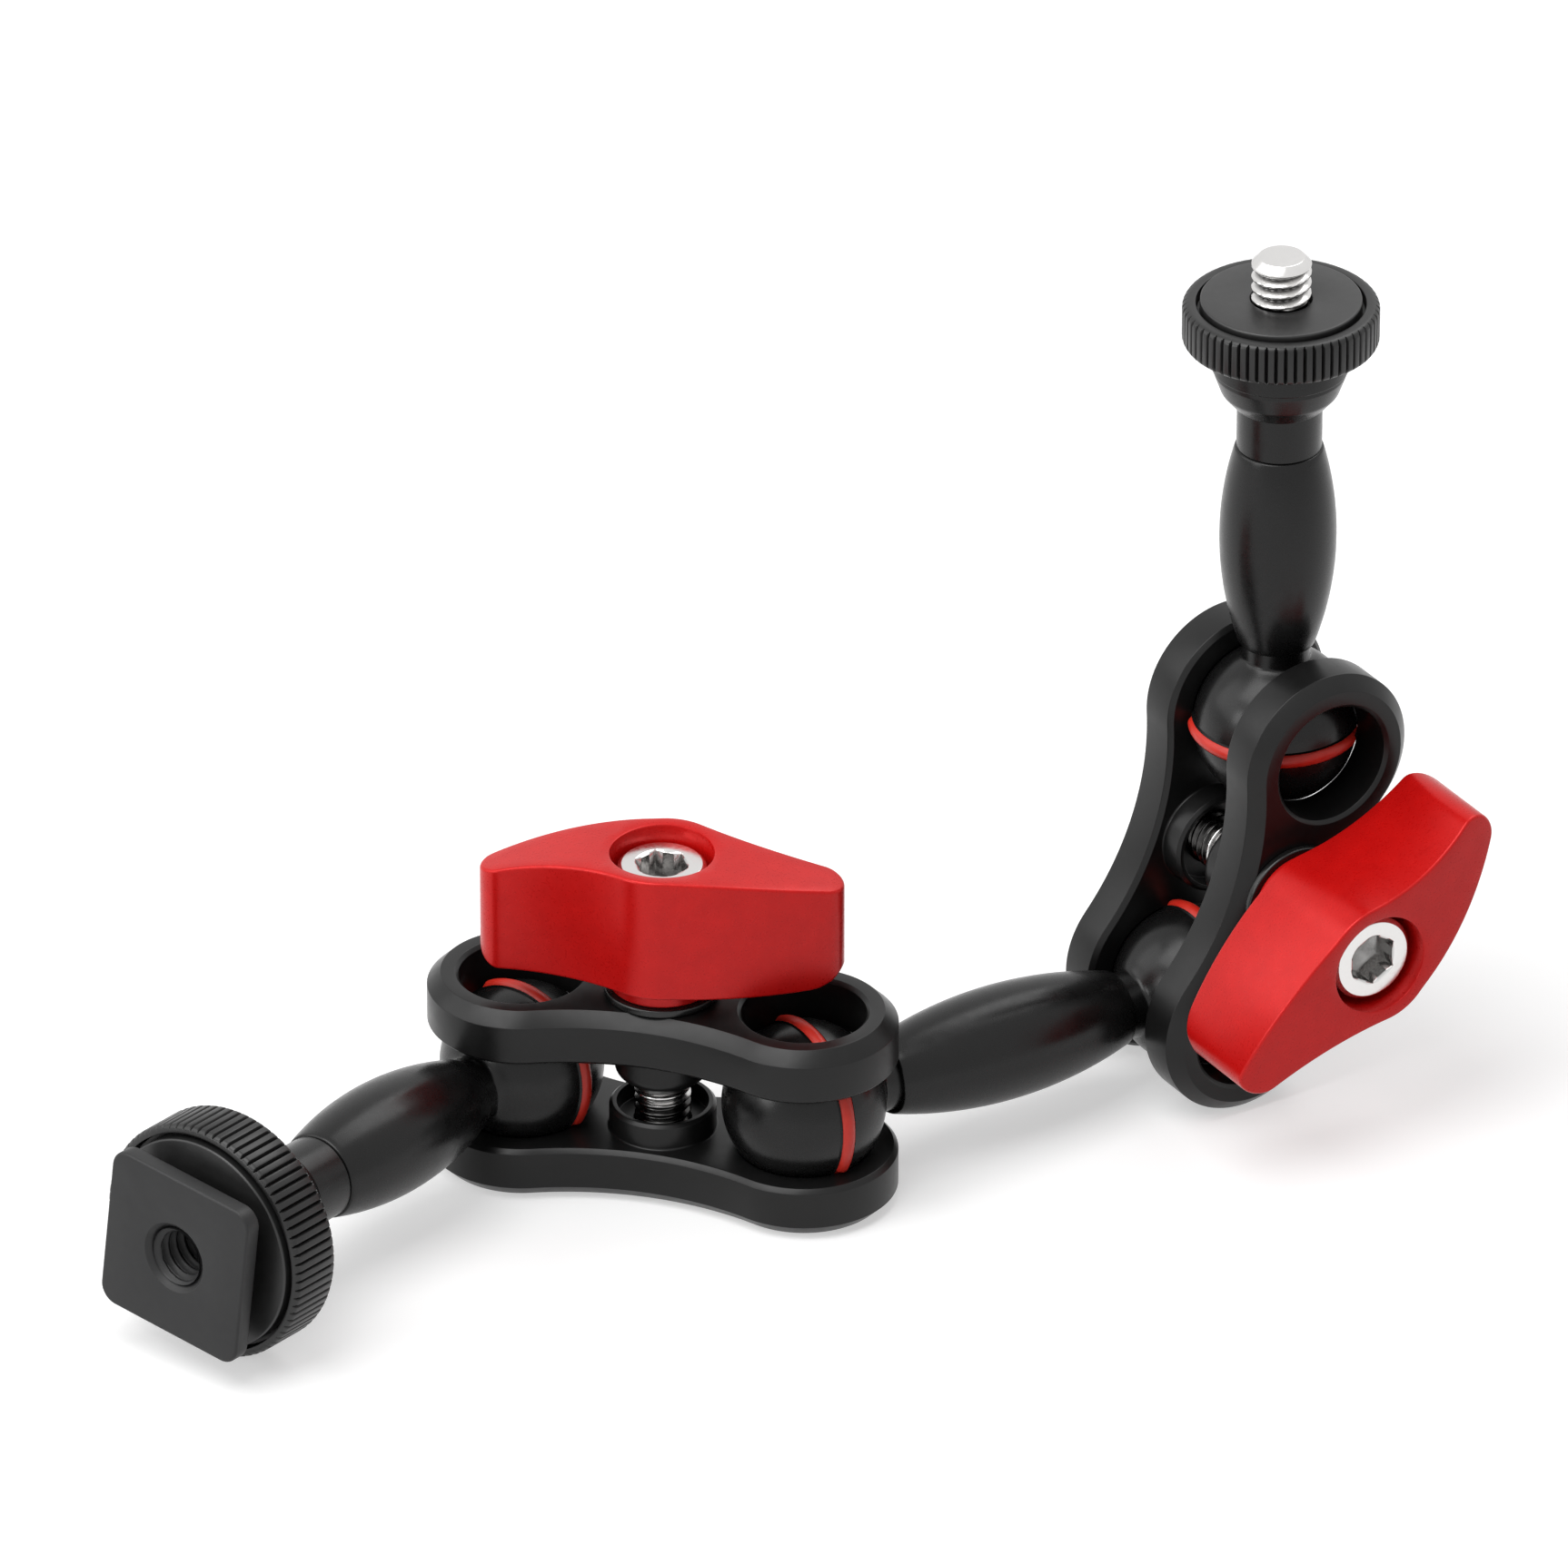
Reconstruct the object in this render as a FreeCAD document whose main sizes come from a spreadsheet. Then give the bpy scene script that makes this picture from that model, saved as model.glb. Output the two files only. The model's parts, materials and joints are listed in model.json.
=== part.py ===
# Double-clamp articulating friction arm with a shoe end and a camera-screw end, in millimetres.
# The frame's origin is on the first clamp's screw axis, at the plane that the arm stands on.
# X runs from the shoe-end ball to the middle arm's ball, and Z points up.
import FreeCAD, Part
import math
import os
import Sketcher

doc = FreeCAD.newDocument("friction_arm")
sheet = doc.addObject("Spreadsheet::Sheet", "Sizes")
V = FreeCAD.Vector

# Driving sizes: one row each, with its name and what it measures
DRIVING = [
    ("ball_spacing", 31.0, "between the two ball centres in one clamp"),
    ("lobe_radius", 10.0, "rounded end of a clamp plate"),
    ("waist_half_width", 7.0, "half the plate's width at its waist"),
    ("plate_thickness", 6.0, "clamp plate"),
    ("plate_gap", 10.4, "between the two plates of a clamp"),
    ("outer_chamfer", 1.45, "edge round the outside face of a plate"),
    ("inner_chamfer", 0.5, "edge round the inside face of a plate"),
    ("seat_hole_radius", 6.65, "round window over each ball in the top plate"),
    ("window_chamfer", 0.4, "rim of the window"),
    ("cup_radius", 5.7, "boss round the thread on the base plate"),
    ("cup_height", 2.9, "height of that boss"),
    ("cup_edge_radius", 0.3, "edges of that boss"),
    ("dish_radius", 4.9, "dish in the top of that boss"),
    ("dish_depth", 2.0, "depth of that dish"),
    ("thread_floor", 1.0, "what the threaded hole leaves of the base plate"),
    ("nose_radius", 5.1, "boss round the screw under the top plate"),
    ("nose_height", 5.0, "height of that boss"),
    ("nose_edge_radius", 0.6, "lower edge of that boss"),
    ("ball_radius", 8.75, "ball of a stud"),
    ("ring_outer_radius", 9.35, "rubber ring round the ball"),
    ("ring_section_radius", 0.88, "rubber ring's own thickness, halved"),
    ("groove_clearance", 0.05, "between the ring and its groove"),
    ("seat_clearance", 0.05, "between the ring and the plates' seats"),
    ("neck_radius", 3.55, "neck of a ball stud"),
    ("neck_end", 10.0, "ball centre to the barrel"),
    ("shank_radius", 2.5, "shank of a stud or fitting, inside the barrel"),
    ("shank_length", 8.0, "length of that shank"),
    ("shank_clearance", 0.05, "round the shank"),
    ("drill_clearance", 0.5, "past the end of the shank"),
    ("barrel_ball_radius", 4.15, "barrel's end beside a ball"),
    ("barrel_belly_radius", 6.2, "barrel at its thickest"),
    ("barrel_fitting_radius", 4.75, "barrel's end beside a fitting"),
    ("barrel_length", 23.6, "barrel of an end arm"),
    ("middle_length", 49.3, "between the middle arm's two ball centres"),
    ("barrel_chamfer", 0.25, "edges of a barrel"),
    ("collar_radius", 4.53, "plain neck of an end fitting"),
    ("collar_length", 4.9, "length of that neck"),
    ("flare_length", 3.9, "cone under the flange"),
    ("flange_radius", 7.3, "flange of an end fitting"),
    ("flange_length", 3.5, "thickness of that flange"),
    ("flange_chamfer", 0.4, "upper edge of that flange"),
    ("wheel_clearance", 0.2, "between the flange and the lock wheel"),
    ("running_clearance", 0.1, "round what turns or slides on a stem"),
    ("camera_wheel_radius", 10.42, "lock wheel at the camera end"),
    ("camera_wheel_width", 4.56, "width of its rim"),
    ("camera_rim_thickness", 1.47, "what the recess in its face leaves of that rim"),
    ("camera_disc_clearance", 0.4, "round the disc that the camera seats on, in that recess"),
    ("camera_disc_thickness", 1.6, "thickness of that disc"),
    ("shoe_wheel_radius", 13.1, "lock wheel at the shoe end"),
    ("shoe_wheel_width", 6.26, "width of its rim"),
    ("shoe_rim_thickness", 0.9, "what the recess in its face leaves of that rim"),
    ("shoe_disc_clearance", 0.5, "round the disc that presses on the shoe's rails, in that recess"),
    ("shoe_disc_thickness", 2.0, "thickness of that disc"),
    ("disc_proud", 0.5, "how far a disc stands out of its wheel"),
    ("disc_gap", 0.1, "between a disc and the recess under it"),
    ("wheel_chamfer", 0.35, "edges of a wheel's rim"),
    ("knurl_depth", 0.45, "depth of a knurl groove"),
    ("knurl_width", 0.62, "width of a knurl groove at the rim"),
    ("camera_knurl_count", 64, "grooves round the camera end's wheel"),
    ("shoe_knurl_count", 80, "grooves round the shoe end's wheel"),
    ("camera_screw_radius", 3.175, "quarter-inch screw"),
    ("camera_screw_reach", 4.95, "how far it stands out of its disc"),
    ("camera_screw_hold", 9.5, "length of it held in the fitting"),
    ("camera_screw_chamfer", 0.6, "its end"),
    ("relief_length", 1.0, "plain groove where its thread ends, level with the disc's face"),
    ("relief_depth", 0.35, "depth of that groove"),
    ("thread_clearance", 0.05, "round a screw in its threaded hole"),
    ("shoe_side", 18.6, "side of the square shoe plate"),
    ("shoe_thickness", 2.0, "thickness of the shoe plate"),
    ("shoe_corner_radius", 2.0, "its corners"),
    ("shoe_edge_radius", 0.3, "its edges"),
    ("shoe_slot", 2.0, "gap between the disc and the shoe plate"),
    ("stem_radius", 4.4, "stem behind the shoe plate"),
    ("stem_hold", 4.6, "length of it held in the fitting"),
    ("shoe_hole_radius", 3.175, "quarter-inch threaded hole in the shoe plate"),
    ("shoe_hole_depth", 8.5, "depth of that hole"),
    ("countersink", 0.8, "mouth of that hole"),
    ("clamp_screw_radius", 3.0, "clamp screw"),
    ("clamp_screw_length", 30.0, "under its head"),
    ("screw_head_radius", 4.75, "its head"),
    ("screw_head_height", 6.0, "height of that head"),
    ("socket_width", 5.0, "hexagon socket across its flats"),
    ("socket_depth", 3.2, "depth of that socket"),
    ("screw_chamfer", 0.4, "edges of the screw"),
    ("clamp_bore_clearance", 0.1, "round the screw in the top plate, washer and knob"),
    ("washer_radius", 6.2, "washer under the knob"),
    ("washer_thickness", 0.9, "thickness of that washer"),
    ("knob_base_radius", 5.6, "round foot of the knob"),
    ("knob_base_height", 1.85, "height of that foot"),
    ("knob_height", 14.2, "knob from the foot to its top"),
    ("counterbore_radius", 5.5, "counterbore for the screw's head"),
    ("head_sink", 1.5, "how far the head sits under the knob's top"),
    ("knob_hub_radius", 7.1, "half the knob's width at its middle"),
    ("knob_reach", 19.4, "half the length of the outline that shapes its sides"),
    ("hub_back_x", 2.2, "where the hub runs into the hollow side of a wing"),
    ("hub_front_x", 2.5, "where the hub runs into the rounded side of a wing"),
    ("tip_back_x", 16.9, "back corner of a wing's tip, along the wing"),
    ("tip_back_y", 5.1, "back corner of a wing's tip, across it"),
    ("tip_front_x", 18.7, "front corner of a wing's tip, along the wing"),
    ("tip_front_y", 0.9, "front corner of a wing's tip, across it"),
    ("wing_hollow_radius", 28.0, "hollow side of a wing"),
    ("wing_round_radius", 40.0, "rounded side of a wing"),
    ("tip_radius", 2.7, "end of a wing"),
    ("crown_radius", 65.0, "arched top of the knob, seen from its side"),
    ("keel_radius", 3.0, "lower corner of a wing, seen from its side"),
    ("knob_edge_radius", 0.3, "edges of the knob"),
    ("shoe_arm_yaw", -113.6, "direction of the shoe arm, in degrees from X"),
    ("shoe_arm_roll", -5.2, "turn of the shoe plate about its arm, in degrees"),
    ("middle_arm_yaw", 47.6, "direction of the middle arm, in degrees from X"),
    ("upper_clamp_swing", 72.6, "upper clamp from the middle arm, in degrees"),
    ("upper_knob_turn", -42.0, "turn of the upper clamp's knob, in degrees"),
]

for row, (alias, number, note) in enumerate(DRIVING, start=1):
    sheet.set("A%d" % row, alias)
    sheet.set("B%d" % row, str(number))
    sheet.set("C%d" % row, note)
    sheet.setAlias("B%d" % row, alias)
doc.recompute()


class Size:
    # A number together with the sheet expression that it comes from

    def __init__(self, number, text):
        self.number = float(number)
        self.text = text

    def join(self, other, sign, number):
        return Size(number, "(%s %s %s)" % (self.text, sign, other.text))

    def __add__(self, other):
        other = as_size(other)
        return self.join(other, "+", self.number + other.number)

    def __sub__(self, other):
        other = as_size(other)
        return self.join(other, "-", self.number - other.number)

    def __mul__(self, other):
        other = as_size(other)
        return self.join(other, "*", self.number * other.number)

    def __truediv__(self, other):
        other = as_size(other)
        return self.join(other, "/", self.number / other.number)

    def __neg__(self):
        return as_size(0) - self


def as_size(thing):
    return thing if isinstance(thing, Size) else Size(thing, repr(float(thing)))


def size(alias):
    return Size(sheet.get(alias), "Sizes." + alias)


def root(area):
    return Size(math.sqrt(area.number), "sqrt(%s)" % area.text)


def new_body(name):
    body = doc.addObject("PartDesign::Body", name)
    body.Label = name
    return body


def plane(body, role):
    return next(item for item in body.Origin.OriginFeatures if item.Role == role)


def new_sketch(body, name, role):
    sketch = body.newObject("Sketcher::SketchObject", body.Name + "_" + name)
    sketch.AttachmentSupport = [(plane(body, role), "")]
    sketch.MapMode = "FlatFace"
    return sketch


def bind(item, prop, value):
    item.setExpression(prop, value.text)


def pin_point(sketch, curve, end, x, y):
    # Hold one end of a curve at a place given by two sizes
    for value, kind, axis in ((x, "DistanceX", -2), (y, "DistanceY", -1)):
        value = as_size(value)
        if abs(value.number) < 1e-9:
            sketch.addConstraint(Sketcher.Constraint("PointOnObject", curve, end, axis))
            continue
        index = sketch.addConstraint(Sketcher.Constraint(kind, -1, 1, curve, end, value.number))
        sketch.setExpression("Constraints[%d]" % index, value.text)


def draw_loop(sketch, points, arcs=None):
    # Closed outline through the points. arcs: point number -> (radius, a place that the arc passes)
    arcs = arcs or {}
    spots = [V(as_size(x).number, as_size(y).number, 0) for x, y in points]
    first = sketch.GeometryCount
    for i, spot in enumerate(spots):
        after = spots[(i + 1) % len(spots)]
        if i in arcs:
            via = V(arcs[i][1][0], arcs[i][1][1], 0)
            sketch.addGeometry(Part.Arc(spot, via, after), False)
        else:
            sketch.addGeometry(Part.LineSegment(spot, after), False)
    starts = []
    ends = []
    for i, spot in enumerate(spots):
        forward = sketch.getPoint(first + i, 1).distanceToPoint(spot) < 1e-6
        starts.append(1 if forward else 2)
        ends.append(2 if forward else 1)
    for i in range(len(spots)):
        j = (i + 1) % len(spots)
        sketch.addConstraint(
            Sketcher.Constraint("Coincident", first + i, ends[i], first + j, starts[j]))
    for i, (x, y) in enumerate(points):
        pin_point(sketch, first + i, starts[i], x, y)
    for i, (radius, via) in arcs.items():
        radius = as_size(radius)
        index = sketch.addConstraint(Sketcher.Constraint("Radius", first + i, radius.number))
        sketch.setExpression("Constraints[%d]" % index, radius.text)


def draw_circle(sketch, x, y, radius):
    x, y = as_size(x), as_size(y)
    index = sketch.addGeometry(Part.Circle(V(x.number, y.number, 0), V(0, 0, 1), radius.number), False)
    pin_point(sketch, index, 3, x, y)
    number = sketch.addConstraint(Sketcher.Constraint("Radius", index, radius.number))
    sketch.setExpression("Constraints[%d]" % number, radius.text)


def feature(body, kind, name, profile):
    item = body.newObject("PartDesign::" + kind, body.Name + "_" + name)
    item.Profile = profile
    profile.Visibility = False
    return item


def pad(body, name, profile, length, down=False):
    item = feature(body, "Pad", name, profile)
    item.Type = 0
    item.Reversed = down
    bind(item, "Length", length)
    return item


def cut_through(body, name, profile):
    item = feature(body, "Pocket", name, profile)
    item.Type = 1
    item.Midplane = True
    return item


def turn(body, name, profile, kind="Revolution", axis="V_Axis"):
    item = feature(body, kind, name, profile)
    item.ReferenceAxis = (profile, [axis])
    item.Angle = 360.0
    return item


def turned(name, points, arcs=None):
    # A piece turned about Z from one outline in the XZ plane
    body = new_body(name)
    profile = new_sketch(body, "section", "XZ_Plane")
    draw_loop(profile, points, arcs)
    turn(body, "turning", profile)
    return body


def dress(body, kind, name, base, edges, amount):
    item = body.newObject("PartDesign::" + kind, body.Name + "_" + name)
    item.Base = (base, edges)
    bind(item, "Radius" if kind == "Fillet" else "Size", amount)
    return item


def flat_edges(shape, height):
    # Names of the edges that lie at one height
    names = []
    for i, edge in enumerate(shape.Edges, start=1):
        box = edge.BoundBox
        if abs(box.ZMin - height.number) < 1e-4 and abs(box.ZMax - height.number) < 1e-4:
            names.append("Edge%d" % i)
    return names


# Sizes that several pieces share
spacing = size("ball_spacing")
thickness = size("plate_thickness")
gap = size("plate_gap")
clamp_height = thickness * 2 + gap
ball_height = clamp_height / 2
ring_radius = size("ring_outer_radius") - size("ring_section_radius")
seat_radius = size("ring_outer_radius") + size("seat_clearance")
washer_level = clamp_height
knob_level = washer_level + size("washer_thickness")
knob_top = size("knob_base_height") + size("knob_height")
head_floor = knob_top - size("head_sink") - size("screw_head_height")
screw_bore = size("clamp_screw_radius") + size("clamp_bore_clearance")
barrel_start = size("neck_end")
barrel_end = barrel_start + size("barrel_length")
flange_start = barrel_end + size("collar_length") + size("flare_length")
wheel_start = flange_start + size("flange_length") + size("wheel_clearance")


def dog_bone(sketch):
    # Two round lobes joined by hollow sides that meet them smoothly
    lobe = size("lobe_radius")
    waist = size("waist_half_width")
    half = spacing / 2
    hollow = (half * half + waist * waist - lobe * lobe) / ((lobe - waist) * 2)
    reach = (lobe + hollow).number
    x = half.number * (1 - lobe.number / reach)
    y = lobe.number * (waist + hollow).number / reach
    corners = [V(x, -y, 0), V(x, y, 0), V(-x, y, 0), V(-x, -y, 0)]
    end = (half + lobe).number
    vias = [V(end, 0, 0), V(0, waist.number, 0), V(-end, 0, 0), V(0, -waist.number, 0)]
    for i, via in enumerate(vias):
        sketch.addGeometry(Part.Arc(corners[i], via, corners[(i + 1) % 4]), False)
    for i, radius in enumerate((lobe, hollow, lobe, hollow)):
        index = sketch.addConstraint(Sketcher.Constraint("Radius", i, radius.number))
        sketch.setExpression("Constraints[%d]" % index, radius.text)
    pin_point(sketch, 0, 3, half, 0)
    pin_point(sketch, 2, 3, -half, 0)
    for i in range(4):
        j = (i + 1) % 4
        ends = [(side, other) for side in (1, 2) for other in (1, 2)
                if sketch.getPoint(i, side).distanceToPoint(sketch.getPoint(j, other)) < 1e-6]
        sketch.addConstraint(Sketcher.Constraint("Tangent", i, ends[0][0], j, ends[0][1]))


def clamp_plate(name, boss_radius, boss_height, boss_edge, bore_points, windows):
    # The plate's inside face lies at zero and it thickens upwards. Its boss hangs below.
    body = new_body(name)
    outline = new_sketch(body, "outline", "XY_Plane")
    dog_bone(outline)
    blank = pad(body, "blank", outline, thickness)
    doc.recompute()
    bevel = dress(body, "Chamfer", "outer_bevel", blank,
                  flat_edges(blank.Shape, thickness), size("outer_chamfer"))
    doc.recompute()
    dress(body, "Chamfer", "inner_bevel", bevel,
          flat_edges(bevel.Shape, as_size(0)), size("inner_chamfer"))
    ring = new_sketch(body, "boss_ring", "XY_Plane")
    draw_circle(ring, 0, 0, boss_radius)
    boss = pad(body, "boss", ring, boss_height, down=True)
    doc.recompute()
    dress(body, "Fillet", "boss_edge", boss, flat_edges(boss.Shape, -boss_height), boss_edge)
    bore = new_sketch(body, "bore_section", "XZ_Plane")
    draw_loop(bore, bore_points)
    turn(body, "bore", bore, "Groove")
    # Seat: a part of a sphere about the ball's centre, which a window opens to the outside
    half = spacing / 2
    mouth = root(seat_radius * seat_radius - gap * gap / 4)
    if windows:
        window, rim = size("seat_hole_radius"), size("window_chamfer")
        shoulder = root(seat_radius * seat_radius - window * window) - gap / 2
        seat_end = [(half + window, shoulder), (half + window, thickness - rim),
                    (half + window + rim, thickness), (half, thickness)]
    else:
        window, shoulder = as_size(0), seat_radius - gap / 2
        seat_end = [(half, shoulder)]
    seat = new_sketch(body, "seat_section", "XZ_Plane")
    middle = math.hypot(mouth.number + window.number, shoulder.number + gap.number)
    via = (half.number + seat_radius.number * (mouth.number + window.number) / middle,
           seat_radius.number * (shoulder.number + gap.number) / middle - gap.number / 2)
    draw_loop(seat, [(half, 0), (half + mouth, 0)] + seat_end, {1: (seat_radius, via)})
    axis = seat.addGeometry(Part.LineSegment(V(half.number, 0, 0), V(half.number, 20, 0)), True)
    seat.addConstraint(Sketcher.Constraint("Vertical", axis))
    pin_point(seat, axis, 1, half, 0)
    seat_cut = turn(body, "seat", seat, "Groove", "Axis0")
    other = body.newObject("PartDesign::Mirrored", name + "_other_seat")
    other.Originals = [seat_cut]
    other.MirrorPlane = (plane(body, "YZ_Plane"), [""])
    body.Tip = other
    return body


def wing_knob(name):
    # S-shaped knob: two wings that lean opposite ways about a round hub
    body = new_body(name)
    hub = size("knob_hub_radius")
    back_x = size("hub_back_x")
    front_x = size("hub_front_x")
    back_y = root(hub * hub - back_x * back_x)
    front_y = root(hub * hub - front_x * front_x)
    tip_back = (size("tip_back_x"), size("tip_back_y"))
    tip_front = (size("tip_front_x"), size("tip_front_y"))

    def opposite(point):
        return (-point[0], -point[1])

    def bulge(start, end, radius, side):
        # A place on the arc of that radius between two points, on the chosen side of their chord
        ax, ay, bx, by = start[0].number, start[1].number, end[0].number, end[1].number
        chord = math.hypot(bx - ax, by - ay)
        rise = radius.number - math.sqrt(radius.number ** 2 - chord ** 2 / 4)
        return ((ax + bx) / 2 + side * rise * (by - ay) / chord,
                (ay + by) / 2 - side * rise * (bx - ax) / chord)

    start = (back_x, back_y)
    finish = (front_x, -front_y)
    half = [start, tip_back, tip_front, finish]
    points = half + [opposite(point) for point in half]
    hollow = size("wing_hollow_radius")
    tip = size("tip_radius")
    rounded = size("wing_round_radius")
    arcs = {}
    for first in (0, 4):
        a, b, c, d = points[first:first + 4]
        after = points[(first + 4) % 8]
        arcs[first] = (hollow, bulge(a, b, hollow, 1))
        arcs[first + 1] = (tip, bulge(b, c, tip, -1))
        arcs[first + 2] = (rounded, bulge(c, d, rounded, -1))
        arcs[first + 3] = (hub, bulge(d, after, hub, -1))
    plan = new_sketch(body, "plan", "XY_Plane")
    draw_loop(plan, points, arcs)
    foot = size("knob_base_height")
    blank = pad(body, "blank", plan, knob_top)
    # Seen from its side, the knob has an arched top and rounded lower corners
    reach = size("knob_reach")
    keel = size("keel_radius")
    crown = size("crown_radius")
    drop = crown - root(crown * crown - reach * reach)
    lip = as_size(10)
    side = new_sketch(body, "side", "XZ_Plane")
    slope = keel.number * (1 - math.sqrt(0.5))
    draw_loop(side, [
        (-reach + keel, foot), (reach - keel, foot), (reach, foot + keel), (reach, knob_top - drop),
        (-reach, knob_top - drop), (-reach, foot + keel)],
        {1: (keel, (reach.number - slope, foot.number + slope)),
         3: (crown, (0, knob_top.number)),
         5: (keel, (slope - reach.number, foot.number + slope))})
    draw_loop(side, [(-reach - lip, -lip), (reach + lip, -lip),
                     (reach + lip, knob_top + lip), (-reach - lip, knob_top + lip)])
    shaped = cut_through(body, "shaping", side)
    doc.recompute()
    edges = ["Edge%d" % (i + 1) for i in range(len(shaped.Shape.Edges))]
    dress(body, "Fillet", "soft_edges", shaped, edges, size("knob_edge_radius"))
    ring = new_sketch(body, "foot_ring", "XY_Plane")
    draw_circle(ring, 0, 0, size("knob_base_radius"))
    pad(body, "foot", ring, foot + as_size(1))
    bore = new_sketch(body, "bore_section", "XZ_Plane")
    wide = size("counterbore_radius")
    draw_loop(bore, [(0, 0), (screw_bore, 0), (screw_bore, head_floor), (wide, head_floor),
                     (wide, knob_top + lip), (0, knob_top + lip)])
    turn(body, "bore", bore, "Groove")
    return body


def cap_screw(name):
    # The head's underside lies at zero and the shank hangs below
    radius = size("clamp_screw_radius")
    length = size("clamp_screw_length")
    head = size("screw_head_radius")
    height = size("screw_head_height")
    edge = size("screw_chamfer")
    body = turned(name, [
        (0, -length), (radius - edge, -length), (radius, -length + edge), (radius, 0), (head, 0),
        (head, height - edge), (head - edge, height), (0, height)])
    socket = new_sketch(body, "socket_plan", "XY_Plane")
    depth = size("socket_depth")
    flat = size("socket_width") / 2
    corner = flat * 2 / root(as_size(3))
    draw_loop(socket, [
        (corner, 0), (corner / 2, flat), (-corner / 2, flat),
        (-corner, 0), (-corner / 2, -flat), (corner / 2, -flat)])
    bind(socket, "AttachmentOffset.Base.z", height)
    item = feature(body, "Pocket", "socket", socket)
    item.Type = 0
    bind(item, "Length", depth)
    return body


def ball_stud(name):
    # The ball's centre lies at zero. The neck and the threaded shank point up.
    ball = size("ball_radius")
    neck = size("neck_radius")
    shank = size("shank_radius")
    join = root(ball * ball - neck * neck)
    top = barrel_start + size("shank_length")
    body = turned(name, [
        (0, -ball), (neck, join), (neck, barrel_start), (shank, barrel_start), (shank, top), (0, top)],
        {0: (ball, (ball.number, 0))})
    groove = new_sketch(body, "groove_section", "XZ_Plane")
    draw_circle(groove, ring_radius, 0, size("ring_section_radius") + size("groove_clearance"))
    turn(body, "groove", groove, "Groove")
    return body


def rubber_ring(name):
    ring = doc.addObject("Part::Torus", name)
    ring.Label = name
    bind(ring, "Radius1", ring_radius)
    bind(ring, "Radius2", size("ring_section_radius"))
    return ring


def barrel(name, end, end_radius):
    # Spindle-shaped sleeve with a blind hole at each end for the two shanks
    start = barrel_start
    hole = size("shank_radius") + size("shank_clearance")
    depth = size("shank_length") + size("drill_clearance")
    edge = size("barrel_chamfer")
    near = size("barrel_ball_radius")
    belly = size("barrel_belly_radius")
    middle = (start + end) / 2
    # Radius of the arc from end to end that swells to the belly
    low = (near + end_radius) / 2
    rise = belly - low
    half = (end - start) / 2 - edge
    bow = (half * half + rise * rise) / (rise * 2)
    return turned(name, [
        (0, start + depth), (hole, start + depth), (hole, start), (near - edge, start),
        (near, start + edge), (end_radius, end - edge), (end_radius - edge, end), (hole, end),
        (hole, end - depth), (0, end - depth)],
        {4: (bow, (belly.number, middle.number))})


def end_fitting(name, bore_radius, bore_depth):
    # Shank, plain collar, flared cone and flange, bored from its face
    shank = size("shank_radius")
    collar = size("collar_radius")
    flange = size("flange_radius")
    edge = size("flange_chamfer")
    neck_top = barrel_end + size("collar_length")
    face = flange_start + size("flange_length")
    return turned(name, [
        (0, barrel_end - size("shank_length")), (shank, barrel_end - size("shank_length")),
        (shank, barrel_end), (collar, barrel_end), (collar, neck_top), (flange, flange_start),
        (flange, face - edge), (flange - edge, face), (bore_radius, face),
        (bore_radius, face - bore_depth), (0, face - bore_depth)])


def lock_wheel(name, end):
    # Knurled ring with a recess in its face for the disc
    radius = size(end + "_wheel_radius")
    face = wheel_start + size(end + "_wheel_width")
    recess = recess_radius(end)
    edge = size("wheel_chamfer")
    hole = stem_radius(end) + size("running_clearance")
    floor = face + size("disc_proud") - size(end + "_disc_thickness") - size("disc_gap")
    body = turned(name, [
        (hole, wheel_start), (radius - edge, wheel_start), (radius, wheel_start + edge),
        (radius, face - edge), (radius - edge, face), (recess, face), (recess, floor), (hole, floor)])
    rib = new_sketch(body, "knurl_plan", "XY_Plane")
    out = radius + 1
    half = size("knurl_width") / 2
    draw_loop(rib, [(radius - size("knurl_depth"), 0), (radius, -half), (out, -half),
                    (out, half), (radius, half)])
    groove = cut_through(body, "knurl", rib)
    pattern = body.newObject("PartDesign::PolarPattern", name + "_knurls")
    pattern.Originals = [groove]
    pattern.Axis = (next(a for a in body.Origin.OriginFeatures if a.Role == "Z_Axis"), [""])
    pattern.Angle = 360.0
    bind(pattern, "Occurrences", size(end + "_knurl_count"))
    body.Tip = pattern
    return body


def stem_radius(end):
    return size("camera_screw_radius") if end == "camera" else size("stem_radius")


def seat_disc(name, end):
    top = disc_face(end)
    hole = stem_radius(end) + size("running_clearance")
    floor = top - size(end + "_disc_thickness")
    radius = recess_radius(end) - size(end + "_disc_clearance")
    return turned(name, [(hole, floor), (radius, floor), (radius, top), (hole, top)])


def recess_radius(end):
    return size(end + "_wheel_radius") - size(end + "_rim_thickness")


def disc_face(end):
    return wheel_start + size(end + "_wheel_width") + size("disc_proud")


def camera_screw(name):
    radius = size("camera_screw_radius")
    edge = size("camera_screw_chamfer")
    low = flange_start + size("flange_length") - size("camera_screw_hold")
    face = disc_face("camera")
    high = face + size("camera_screw_reach")
    relief = face - size("relief_length")
    core = radius - size("relief_depth")
    return turned(name, [
        (0, low), (radius - edge, low), (radius, low + edge), (radius, relief), (core, relief),
        (core, face), (radius, face), (radius, high - edge), (radius - edge, high), (0, high)])


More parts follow.
